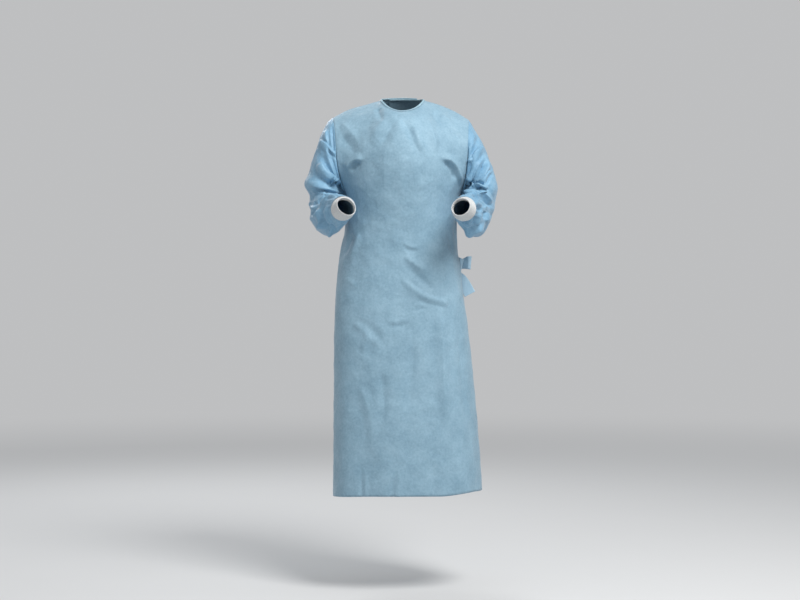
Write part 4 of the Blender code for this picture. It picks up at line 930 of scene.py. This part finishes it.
sleeves = {
    "rows": 210, "columns": 200, "thickness": 0.0008, "strength": 1.35,
    "crumples": ((0.060, 0.0026), (0.026, 0.0008)),
    "gathers": 19, "gatherHeight": 0.0018, "gatherReach": 0.022,
    "pixel": 0.0030,
    # for each place how much higher, how much wider, the least half width, and its creases
    "left": {
        "beside the armhole seam": (1.0, 1.0, 0.0, (
            (-8, 5, 0, 0.15, 0.3, (333, 122), (333.5, 135), (334.5, 148), (337, 158)),
            (6, 5, -0.5, 0.3, 0.4, (326.5, 126), (327, 137), (328, 147)),
            (5, 6, -0.7, 0.2, 0.1, (318, 137), (322.7, 141.3), (330, 148), (337, 156)),
            (-5, 4, 0, 0.4, 0.1, (326, 148), (331, 153), (337, 159)),
            (9, 8, -0.5, 0.2, 0.2, (320.5, 160), (322, 165), (326.3, 172.6), (334, 178.5), (340, 184)),
            (-11, 7, 0, 0.3, 0.1, (331, 180), (337, 185.5), (345, 191.5)),
        )),
        "from the elbow's corner to the crook": (1.0, 1.0, 0.0, (
            (7, 6, 0.6, 0.35, 0.1, (303, 182.5), (312, 185.5), (325, 189), (338, 192), (347, 194)),
            (-5, 3.5, 0, 0.2, 0.1, (308, 187.5), (320, 190.5), (334, 193), (346, 195)),
            (4, 4, 0.4, 0.3, 0.1, (306, 190), (318, 193), (330, 195), (345, 196.5)),
            (-7, 4.5, 0, 0.2, 0.1, (315, 206), (318, 203.9), (326, 197.8), (327, 196), (338.4, 195.5),
             (346, 196)),
            (6, 4.5, -0.5, 0.2, 0.1, (319, 206), (327, 200.5), (334, 199.5), (343, 198.5)),
            (-4, 3, 0, 0.3, 0.1, (325.7, 202), (334, 200.8), (341, 199), (346, 197)),
        )),
        "facets of the lower sleeve and gathers round the cuff": (1.0, 1.0, 4.5, (
            (-4, 3.5, 0, 0.2, 0.2, (309, 203), (313, 205), (318, 203)),
            (3.5, 6, 0.3, 0.2, 0.3, (305, 203), (311, 206), (316, 212)),
            (-4, 3, 0, 0.2, 0.2, (312, 216.5), (315, 214), (318.5, 210.5)),
            (3.5, 5, 0.3, 0.2, 0.3, (309, 219.5), (315, 217), (321, 213)),
            (-6, 4, 0, 0.2, 0.2, (327, 204), (324.7, 210), (323.7, 217.5), (327.8, 225.7), (331, 230)),
            (7, 5, -0.3, 0.2, 0.2, (321, 208), (319.5, 217), (323, 226), (327, 231)),
            (5, 4, 0, 0.3, 0.3, (330, 206), (328, 214), (330, 222), (334, 228)),
            (-7, 4, 0, 0.3, 0.3, (330, 224.5), (333, 228), (336, 232)),
            (4, 3.5, 0, 0.3, 0.3, (336, 227), (341, 225), (345, 222)),
            (-5, 3.5, 0, 0.2, 0.3, (334, 231), (341, 229), (346, 224)),
            (5, 4, 0, 0.2, 0.3, (316, 229), (322, 226), (326, 220)),
            (5, 4, 0, 0.1, 0.3, (328, 238), (330.4, 234), (333, 228)),
        )),
        "corners of the outline, with flats between them": (1.0, 1.0, 0.0, (
            (2.0, 9, 0, 0.1, 0.3, (299, 182), (303, 182.5), (312, 185)),
            (-1.6, 9, 0, 0.1, 0.3, (303, 174), (307, 172), (313, 170)),
            (-1.6, 9, 0, 0.1, 0.3, (303, 194), (307, 194), (313, 195)),
            (1.8, 8, 0, 0.1, 0.4, (306, 206), (310, 205), (317, 203)),
            (2.0, 8, 0, 0.1, 0.4, (307, 221), (312, 219), (320, 214)),
            (-1.8, 9, 0, 0.1, 0.4, (312, 227), (317, 222.5), (323, 217)),
            (1.6, 7, 0, 0.1, 0.4, (320, 231), (322, 227), (326, 221)),
            (2.0, 8, 0, 0.1, 0.4, (327, 240), (330, 235), (333, 229)),
            (2.0, 8, 0, 0.1, 0.4, (346, 239), (343, 234), (341, 228)),
            (-1.8, 9, 0, 0.1, 0.4, (337, 239), (337, 234), (336, 229)),
        )),
        "the pocket in the crook": (1.0, 1.0, 0.0, (
            (-12, 9, 0, 0.2, 0.15, (329, 178), (333, 185), (341, 190), (347, 193)),
        )),
    },
    "right": {
        "below the shoulder": (1.0, 1.0, 0.0, (
            (-4, 3.5, 0, 0.2, 0.3, (468, 124), (467.5, 140), (467, 152)),
            (2.5, 4, 0, 0.3, 0.3, (474, 128), (473, 140), (471, 152)),
            (-2.2, 4, 0, 0.3, 0.3, (479, 133), (477, 146)),
            (7, 6, -0.6, 0.15, 0.15, (466.5, 163), (471, 158), (477, 150.5), (484, 143.5)),
        )),
        "from the crook up to the outer edge": (1.2, 1.0, 3.5, (
            (-9, 5, 0, 0.1, 0.3, (460.3, 190.5), (470.5, 185), (476.6, 179), (481.7, 170.6),
             (486, 158), (487, 154)),
            (7, 5, 0.5, 0.15, 0.3, (466, 183), (473, 176), (478.5, 167), (483, 157)),
            (6, 5, -0.5, 0.15, 0.3, (474, 186), (481, 178), (486, 168), (490, 158)),
            (-4, 2.5, 0, 0.2, 0.3, (473.6, 182), (480, 171.6), (484, 161)),
            (-5, 4, 0, 0.2, 0.3, (494, 171), (489, 178), (485.5, 187)),
            (4, 4, 0, 0.2, 0.3, (491, 170), (487, 177), (483, 184)),
        )),
        "the pinched diamond beside the crook": (1.2, 1.0, 3.5, (
            (-8, 3, 0, 0.2, 0.2, (473, 185.5), (477, 183.6), (480, 183.2), (484.8, 185.4)),
            (8, 3, 0, 0.1, 0.2, (468, 190), (474, 187.2), (480, 185.8), (486, 187.5), (488, 190)),
            (-9, 3, 0, 0.3, 0.3, (475, 190), (479.7, 188.5), (483.8, 189.5)),
            (8, 3, 0, 0.1, 0.2, (468, 192.5), (476, 191.6), (483, 191.8), (488, 190.5)),
        )),
        "the big fold to the elbow": (0.85, 1.2, 0.0, (
            (9, 5, 0.5, 0.1, 0.2, (466, 193.5), (474, 194), (483, 194.5), (488, 199), (492, 206)),
            (-9, 4.5, 0, 0.15, 0.2, (470, 196.5), (476, 197.5), (482.8, 199), (487, 202.5), (491.5, 208.5)),
            (6, 4.5, -0.3, 0.2, 0.3, (474, 200), (480, 202.5), (484, 206.5), (487, 211)),
        )),
        "gathers round the cuff": (1.0, 1.0, 4.5, (
            (-6, 3, 0, 0.2, 0.3, (476.6, 201), (481.7, 205), (483.8, 210.4)),
            (-5, 3, 0, 0.2, 0.3, (473.6, 207.5), (477, 210.8), (482, 210.8)),
            (5, 3, 0, 0.2, 0.3, (472, 204), (477, 206.5), (480, 208.5)),
            (-6, 3.5, 0, 0.2, 0.3, (484.5, 211), (484, 216), (482.5, 221)),
            (5, 4, 0, 0.2, 0.3, (488, 212), (487.5, 218), (485, 224)),
            (-6, 3.5, 0, 0.3, 0.3, (460, 219.5), (461.5, 223), (463, 227)),
            (-5, 3, 0, 0.2, 0.3, (466.5, 217.5), (465, 223), (463, 228)),
            (7, 3.5, 0, 0.2, 0.3, (470.5, 215.5), (467.5, 221), (466, 227)),
            (-5, 3.5, 0, 0.2, 0.3, (474, 217), (472.5, 223), (470, 228)),
            (6, 4, 0, 0.2, 0.3, (478, 214), (477, 221), (474, 228)),
            (-6, 4, 0, 0.2, 0.3, (450, 221), (458, 227), (466.4, 231), (472.5, 229), (482.8, 221)),
            (6, 5, 0, 0.2, 0.3, (452, 226), (460, 232), (468, 235.5), (478, 230), (488, 221)),
        )),
        "corners of the outline, with flats between them": (1.0, 1.0, 0.0, (
            (2.0, 9, 0, 0.1, 0.4, (500, 188), (494, 189), (487, 191)),
            (-1.5, 9, 0, 0.1, 0.4, (499, 177), (493, 178), (487, 180)),
            (-1.5, 9, 0, 0.1, 0.4, (499, 199), (493, 199), (487, 198)),
            (1.8, 8, 0, 0.1, 0.4, (496, 210), (491, 207), (485, 203)),
            (-1.8, 8, 0, 0.1, 0.4, (493, 216), (488, 212), (482, 208)),
            (2.0, 8, 0, 0.1, 0.4, (482, 235), (477, 229), (472, 223)),
            (-1.8, 8, 0, 0.1, 0.4, (475, 238), (472, 233), (468, 227)),
            (2.2, 8, 0, 0.1, 0.4, (469, 241), (466, 234), (463, 228)),
        )),
        "the pocket in the crook": (1.0, 1.0, 0.0, (
            (-7, 5, 0, 0.2, 0.15, (464, 177), (467, 183), (466, 190)),
        )),
    },
    # like ones behind each sleeve, in metres, with x outwards
    "behind": (
        (0.0045, 0.009, 0.2, 0.2, 0.3, (0.286, -0.262), (0.246, -0.274), (0.206, -0.276), (0.186, -0.270)),
        (-0.0045, 0.010, 0.0, 0.2, 0.3, (0.280, -0.286), (0.242, -0.292), (0.206, -0.290)),
        (0.0040, 0.009, 0.0, 0.3, 0.3, (0.272, -0.316), (0.240, -0.312), (0.206, -0.300)),
        (-0.0040, 0.010, 0.0, 0.2, 0.4, (0.262, -0.200), (0.236, -0.236), (0.206, -0.250)),
        (0.0040, 0.010, 0.0, 0.2, 0.4, (0.246, -0.150), (0.226, -0.196), (0.202, -0.226)),
        (-0.0034, 0.010, 0.0, 0.2, 0.4, (0.230, -0.120), (0.216, -0.170), (0.200, -0.204)),
    ),
}


def sleevePiece(name, key, node, outwards, seed):
    d = sleeves
    grid = finer(coarse[key], d["rows"], d["columns"], True, columnBreaks=(0, 2 * shape["yokeRows"]))
    normals, uv = gridNormals(grid, True), flatMap(grid)
    away, wrist = uv[-1:, :, 1] - uv[:, :, 1], uv[:, :, 1]
    # the folds and pockets seen are carried round the outer outline, where they end in its corners
    outer = np.maximum(outwards * normals[:, :, 0], -normals[:, :, 2])
    over = 0.05 + 0.15 * ramp((outer - 0.2) / 0.5)
    behind = [(*row[:5], *[(outwards * x, z) for x, z in row[5:]]) for row in d["behind"]]
    out = creased(grid, readCreases(d[key], d["pixel"]), normals, -1.0, d["strength"], 1.0, over)
    out += creased(grid, behind, normals, 1.0, d["strength"], 1.0)
    broad, small = d["crumples"]
    out += crumpled(grid, *broad, seed) + crumpled(grid, *small, seed + 5.0)
    out = out * ramp(away / 0.012) * ramp(wrist / 0.010)
    # gathers where the sleeve is drawn into the cuff
    turn = np.linspace(0.0, 2 * pi, grid.shape[1])[None, :]
    wave = np.sin(d["gathers"] * turn + 1.3 * np.sin(3 * turn + seed)) * (0.7 + 0.3 * np.sin(5 * turn + seed))
    out += d["gatherHeight"] * wave * np.exp(-wrist / d["gatherReach"]) * ramp(wrist / 0.004)
    out += puckered(grid, fromEdges(uv, ("top",)), 0.0014, 0.012, seed)
    out[:, -1] = out[:, 0]
    grid = grid + normals * out[:, :, None]
    return finished(shell(name, grid, uv, d["thickness"], sleeveCloth, True), "sleeve_cloth", node), grid


leftSleeve, leftFine = sleevePiece("Gown_Sleeve_Left", "left", "sleeve_left", -1.0, 23.0)
rightSleeve, rightFine = sleevePiece("Gown_Sleeve_Right", "right", "sleeve_right", 1.0, 29.0)
print("stage: sleeves")


# knitted cuffs

cuffs = {
    "length": 0.070, "steps": 4, "endScale": 0.80, "narrowing": 1.3, "turn": (0.40, -0.80, 0.45),
    "rows": 38, "ribs": 66, "sidesPerRib": 8, "ribHeight": 0.0009, "thickness": 0.0012,
}


def cuffGrid(ring, inwards):
    d = cuffs
    centre = ring[:-1].mean(axis=0)
    start = unit(np.cross(ring[shape["yokeRows"] // 2] - centre, ring[shape["yokeRows"]] - centre))
    turn = unit(np.array(d["turn"]) * np.array([inwards, 1.0, 1.0]))
    start = start if start @ turn > 0 else -start
    rings, place = [], centre
    for share in np.linspace(0.0, 1.0, d["steps"] + 1):
        aim = unit(start * (1 - share) + turn * share)
        swing = np.array(Vector(start).rotation_difference(Vector(aim)).to_matrix())
        scale = 1.0 + (d["endScale"] - 1.0) * ramp(share * d["narrowing"])
        rings.append(place + (ring - centre) @ swing.T * scale)
        place = place + aim * d["length"] / d["steps"]
    return np.array(rings[::-1])


def cuffPiece(name, key, node, inwards):
    d = cuffs
    columns = d["ribs"] * d["sidesPerRib"] + 1
    grid = finer(cuffGrid(coarse[key][0], inwards), d["rows"], columns, True)
    normals, uv = gridNormals(grid, True), flatMap(grid)
    turn = np.linspace(0.0, 2 * pi, columns)[None, :]
    rib = 0.5 + 0.5 * np.cos(d["ribs"] * turn)
    out = d["ribHeight"] * (rib ** 0.7 - 0.75) * np.ones((d["rows"], 1))
    # the free end rolls a little, and the knit gives unevenly
    end = uv[:, :, 1]
    out += 0.0008 * np.exp(-(end / 0.003) ** 2) - 0.0006 * ramp((end - 0.060) / 0.008)
    out += 0.0009 * np.sin(2 * turn + 40 * end) * np.ones_like(out)
    out[:, -1] = out[:, 0]
    grid = grid + normals * (out - 0.0004)[:, :, None]
    return finished(shell(name, grid, uv, d["thickness"], cuffKnit, True), "cuff_knit", node), grid


leftCuff, leftKnit = cuffPiece("Gown_Cuff_Left", "left", "cuff_left", 1.0)
rightCuff, rightKnit = cuffPiece("Gown_Cuff_Right", "right", "cuff_right", -1.0)
print("stage: cuffs")


# seams, binding and sewing

sewing = {
    "seamRadius": 0.0008, "stitch": 0.0026, "stitchGap": 0.0014, "threadRadius": 0.00022,
    "bindingHeight": 0.0055, "bindingOver": 0.0006, "bindingWall": 0.0015, "bindingCloth": 0.0003,
}


def tube(name, line, radius, material, sides=8):
    # a round ridge along a line of points
    line = np.asarray(line)
    ahead = unit(np.gradient(line, axis=0))
    side = unit(np.cross(ahead, np.array([0.31, 0.52, 0.79])))
    lift = np.cross(ahead, side)
    turn = np.linspace(0.0, 2 * pi, sides + 1)[None, :, None]
    grid = line[:, None] + radius * (np.cos(turn) * side[:, None] + np.sin(turn) * lift[:, None])
    piece = gridObject(name, grid, flatMap(grid), True)
    work = bmesh.new()
    work.from_mesh(piece.data)
    bmesh.ops.holes_fill(work, edges=work.edges, sides=0)
    bmesh.ops.recalc_face_normals(work, faces=work.faces)
    work.to_mesh(piece.data)
    work.free()
    piece.data.materials.append(material)
    piece.data.polygons.foreach_set("use_smooth", [True] * len(piece.data.polygons))
    return piece


def stitches(name, line, out):
    # short stitches along a line, each lying on the cloth with its ends sunk in
    d = sewing
    run = np.concatenate([[0.0], np.cumsum(np.linalg.norm(np.diff(line, axis=0), axis=1))])
    step = d["stitch"] + d["stitchGap"]
    count = int(run[-1] // step)
    starts = np.arange(count) * step + step * 0.3
    points, faces = [], []
    for start in starts:
        at = start + d["stitch"] * np.array([0.0, 0.25, 0.75, 1.0])
        middle = np.stack([np.interp(at, run, line[:, k]) for k in range(3)], axis=1)
        up = unit(np.stack([np.interp(at, run, out[:, k]) for k in range(3)], axis=1))
        ahead = unit(middle[-1] - middle[0])
        side = unit(np.cross(ahead, up))
        high = d["threadRadius"] * np.array([-0.6, 0.5, 0.5, -0.6])[:, None]
        first = len(points)
        for k in range(4):
            r = d["threadRadius"] * (0.5 if k in (0, 3) else 1.0)
            for turn in np.arange(6) * pi / 3:
                ring = r * (np.cos(turn) * side[k] + np.sin(turn) * up[k])
                points.append(middle[k] + up[k] * high[k] + ring)
        for k in range(3):
            for i in range(6):
                a, b = first + 6 * k + i, first + 6 * k + (i + 1) % 6
                faces.append((a, b, b + 6, a + 6))
        faces.append(tuple(first + i for i in range(5, -1, -1)))
        faces.append(tuple(first + 18 + i for i in range(6)))
    mesh = bpy.data.meshes.new(name)
    mesh.from_pydata([tuple(p) for p in points], [], faces)
    mesh.materials.append(thread)
    piece = bpy.data.objects.new(name, mesh)
    bpy.context.collection.objects.link(piece)
    mesh.polygons.foreach_set("use_smooth", [True] * len(mesh.polygons))
    return piece


def seam(name, line, normals, slot, material):
    piece = tube(name, line - normals * 0.0012, sewing["seamRadius"], material)
    return finished(piece, slot)


yokeStart = round((shape["skirtRows"] - 1) / (coarse["front"].shape[0] - 1) * (frontPanel["rows"] - 1))
frontNormals = gridNormals(frontFine)
for key, column in (("Left", 0), ("Right", -1)):
    edge = (slice(0, yokeStart), column)
    seam("Seam_Side_" + key, frontFine[edge], frontNormals[edge], "body_cloth", bodyCloth)
for key, fineGrid in (("Left", leftFine), ("Right", rightFine)):
    normals = gridNormals(fineGrid, True)
    seam("Seam_Armhole_" + key, fineGrid[-1], normals[-1], "sleeve_cloth", sleeveCloth)
shoulderShare = shape["shoulderSteps"] / (2 * shape["shoulderSteps"] + shape["neckSteps"])
shoulderEnd = round(shoulderShare * (frontPanel["columns"] - 1))
for key, span in (("Left", slice(0, shoulderEnd)), ("Right", slice(-shoulderEnd, None))):
    seam("Seam_Shoulder_" + key, frontFine[-1, span], frontNormals[-1, span], "body_cloth", bodyCloth)


def neckLine():
    # the neck edge of the three panels in one line, from the outer flap to the inner one
    steps, neck, flapNeck = shape["shoulderSteps"], shape["neckSteps"], shape["flapNeckSteps"]
    spans = ((coarse["outer"], slice(0, flapNeck + 1)), (coarse["front"], slice(steps + 1, steps + neck)),
             (coarse["inner"], slice(steps, steps + flapNeck + 1)))
    edge = np.concatenate([grid[-1, span] for grid, span in spans])
    below = np.concatenate([grid[-2, span] for grid, span in spans])
    out = np.concatenate([gridNormals(grid)[-1, span] for grid, span in spans])
    corners = (flapNeck, flapNeck + neck)
    at = np.linspace(0.0, len(edge) - 1.0, 420)
    weights = splineWeights(len(edge), at, corners)
    return weights @ edge, weights @ below, unit(splineWeights(len(edge), at) @ out)


def smoothLine(values, passes):
    for _ in range(passes):
        values = values.copy()
        values[1:-1] = (values[:-2] + 2 * values[1:-1] + values[2:]) / 4
    return values


def bindingPiece():
    d = sewing
    edge, below, out = neckLine()
    out = unit(smoothLine(out, 30))
    up = unit(np.cross(np.gradient(edge, axis=0), out))
    up = up * np.sign(((edge - below) * up).sum(axis=1, keepdims=True))
    up = unit(smoothLine(up, 30))
    run = np.concatenate([[0.0], np.cumsum(np.linalg.norm(np.diff(edge, axis=0), axis=1))])
    wave = np.array([noise.noise(Vector((r / 0.009, 2.0, 5.0))) for r in run])[:, None]
    # section of the folded strip: outside, over the top fold, inside
    high, wall, over = d["bindingHeight"], d["bindingWall"], d["bindingOver"]
    section = [(-0.0012, over), (0.0010, over + 0.0003), (0.0028, over + 0.0004), (0.0044, over + 0.0002)]
    section += [(high * 0.97, over * 0.3), (high, -wall * 0.5), (high * 0.97, -wall - over * 0.3)]
    section += [(0.0044, -wall - over * 0.7), (0.0026, -wall - over), (-0.0012, -wall - over)]
    rows = []
    for rise, away in section:
        ripple = wave * 0.0003 * (1.0 if 0.0 < rise < 0.005 else 0.2)
        rows.append(edge + up * (rise + 0.0006) + out * (away + ripple))
    grid = np.array(rows)
    offset = 1.0 if (gridNormals(grid)[1] * out).sum() < 0 else -1.0
    piece = walled(gridObject("Neck_Binding", grid, flatMap(grid)), bindingCloth, d["bindingCloth"], offset)
    finished(piece, "binding", "neck_binding")
    sewn = stitches("Neck_Stitches", edge + up * 0.0012 + out * (over + 0.0004), out)
    return piece, finished(sewn, "binding"), float(run[-1])


binding, neckStitches, neckLength = bindingPiece()
print("stage: seams and binding")


# ties

ties = {
    "width": 0.036, "height": 0.503, "clear": 0.0022, "wall": 0.0015, "rows": 150, "columns": 15,
    "thickness": 0.0006, "flapSewn": (1.6, 1.0, 0.4), "sideSewn": (0.3, 1.0, 1.5),
    # x, y, z, width, then the way the width runs
    "flap": (
        (0.1440, 0.0995, -0.5050, 0.026, 0.0, 0.0, 1.0), (0.1520, 0.0960, -0.5070, 0.017, 0.0, 0.0, 1.0),
        (0.1590, 0.0925, -0.5085, 0.012, 0.0, 0.0, 1.0), (0.1655, 0.0905, -0.5100, 0.010, 0.0, 0.0, 1.0),
        (0.172, 0.0895, -0.5105, 0.011, 0.0, 0.0, 1.0), (0.181, 0.0865, -0.5100, 0.017, 0.0, 0.0, 1.0),
        (0.194, 0.0800, -0.5030, 0.035, 0.1, 0.0, 1.0), (0.206, 0.0745, -0.4990, 0.039, 0.1, 0.0, 1.0),
        (0.2125, 0.0830, -0.5000, 0.039, 0.1, 0.0, 1.0), (0.204, 0.0930, -0.5020, 0.037, 0.1, 0.0, 1.0),
        (0.190, 0.0965, -0.5070, 0.024, 0.0, 0.0, 1.0), (0.179, 0.0965, -0.5120, 0.013, 0.0, 0.0, 1.0),
        (0.168, 0.0965, -0.5140, 0.010, 0.0, 0.0, 1.0), (0.160, 0.0985, -0.5165, 0.008, 0.1, 0.0, 1.0),
        (0.1545, 0.1035, -0.5270, 0.007, 0.6, -0.3, 0.7), (0.151, 0.1110, -0.5480, 0.022, 0.9, -0.5, 0.2),
        (0.150, 0.1170, -0.5750, 0.036, 0.9, -0.5, 0.0), (0.149, 0.1220, -0.6300, 0.036, 0.9, -0.5, 0.0),
    ),
    "side": (
        (0.1850, 0.0520, -0.5030, 0.027, 0.2, 0.0, 0.97), (0.1820, 0.0680, -0.5005, 0.019, 0.6, 0.0, 0.80),
        (0.1740, 0.0820, -0.4985, 0.013, 0.95, 0.0, 0.30), (0.1685, 0.0930, -0.4990, 0.012, 1.0, 0.0, 0.0),
        (0.1680, 0.1025, -0.5045, 0.012, 1.0, 0.0, 0.0), (0.1680, 0.1045, -0.5135, 0.012, 1.0, 0.0, 0.0),
        (0.1680, 0.1015, -0.5240, 0.012, 1.0, 0.0, 0.0), (0.1680, 0.0930, -0.5285, 0.012, 1.0, 0.0, 0.0),
        (0.1710, 0.0855, -0.5325, 0.016, 1.0, 0.0, 0.1), (0.1770, 0.0815, -0.5420, 0.028, 0.9, 0.0, 0.3),
        (0.1880, 0.0790, -0.5600, 0.036, 0.9, 0.0, 0.43), (0.1990, 0.0770, -0.5780, 0.036, 0.9, 0.0, 0.43),
        (0.2090, 0.0750, -0.5970, 0.036, 0.9, 0.0, 0.43),
    ),
}


def sewnRows(panel, columns):
    d = ties
    across = np.array(columns) / (panel.shape[1] - 1)
    shares = np.linspace(0.0, 1.0, panel.shape[0])
    ups = np.array([np.interp(-d["height"], panel[:, round(i), 2], shares) for i in columns])
    normals = unit(readGrid(gridNormals(panel), across, ups))
    rise = unit(readGrid(np.gradient(panel, axis=0), across, ups))
    points = readGrid(panel, across, ups) + normals * (d["clear"] + d["wall"] / 2)
    return [(*point, d["width"], *way) for point, way in zip(points, rise)]


def tiePiece(name, table, node, seed):
    d = ties
    table = np.array(table)
    at = np.concatenate([[0.0], np.cumsum(np.linalg.norm(np.diff(table[:, :3], axis=0), axis=1))])
    rows = smoothTable(at, table, np.linspace(0.0, at[-1], d["rows"]))
    line, width, side = rows[:, :3], rows[:, 3:4], rows[:, 4:7]
    ahead = unit(np.gradient(line, axis=0))
    side = unit(side - ahead * (side * ahead).sum(axis=1, keepdims=True))
    face = unit(np.cross(ahead, side))
    share = np.linspace(-0.5, 0.5, d["columns"])[:, None, None]
    grid = line[None] + share * (side * width)[None]
    # where the strip is drawn narrow its spare width stands up in lengthwise pleats
    spare = np.clip(1.0 - width / d["width"], 0.0, 1.0)
    pleat = 0.0016 * spare[None] * np.cos(share * 2 * pi * 3.0 + seed)
    run = np.linspace(0.0, at[-1], d["rows"])
    ripple = np.array([[noise.noise(Vector((r / 0.016, s * 2.2, seed))) for r in run]
                       for s in share[:, 0, 0]])[:, :, None]
    grid = grid + face[None] * (pleat + 0.0007 * ripple * (1 - 0.5 * spare[None]))
    uv = np.stack([np.broadcast_to(share[:, :, 0] * d["width"], grid.shape[:2]),
                   np.broadcast_to(run[None], grid.shape[:2])], axis=2)
    piece = walled(gridObject(name, grid, uv), tieCloth, d["thickness"], 0.0)
    return finished(piece, "tie_cloth", node), at[-1]


tieFlap, flapLength = tiePiece("Tie_Flap", sewnRows(coarse["outer"], ties["flapSewn"]) + list(ties["flap"]),
                               "tie_flap", 1.0)
tieSide, sideLength = tiePiece("Tie_Side", sewnRows(coarse["inner"], ties["sideSewn"]) + list(ties["side"]),
                               "tie_side", 2.0)
print("stage: ties", round(flapLength, 3), round(sideLength, 3), "binding", round(neckLength, 3))


# closure patches keep their solids, with their own tape finishes

for node, finish in (("neck_hook", tapeMaterial("hookTape", (0.82, 0.84, 0.86), 1400.0)),
                     ("neck_loop", tapeMaterial("loopTape", (0.88, 0.89, 0.90), 2600.0))):
    patch = bpy.data.objects[node]
    for slot in patch.material_slots:
        slot.material = finish


# cut sizes

def clothArea(grid):
    across = np.linalg.norm(np.cross(grid[:-1, 1:] - grid[:-1, :-1], grid[1:, :-1] - grid[:-1, :-1]), axis=2)
    return float(across.sum())


for name, grid in (("front", frontFine), ("outer", outerFine), ("inner", innerFine),
                   ("left", leftFine), ("right", rightFine),
                   ("left cuff", leftKnit), ("right cuff", rightKnit)):
    uv = flatMap(grid)
    widest = float(np.ptp(uv[:, :, 0], axis=1).max())
    print("cut", name, "area", round(clothArea(grid), 4), "widest", round(widest, 3),
          "long", round(float(uv[-1, 0, 1]), 3))

print("stage: finished")
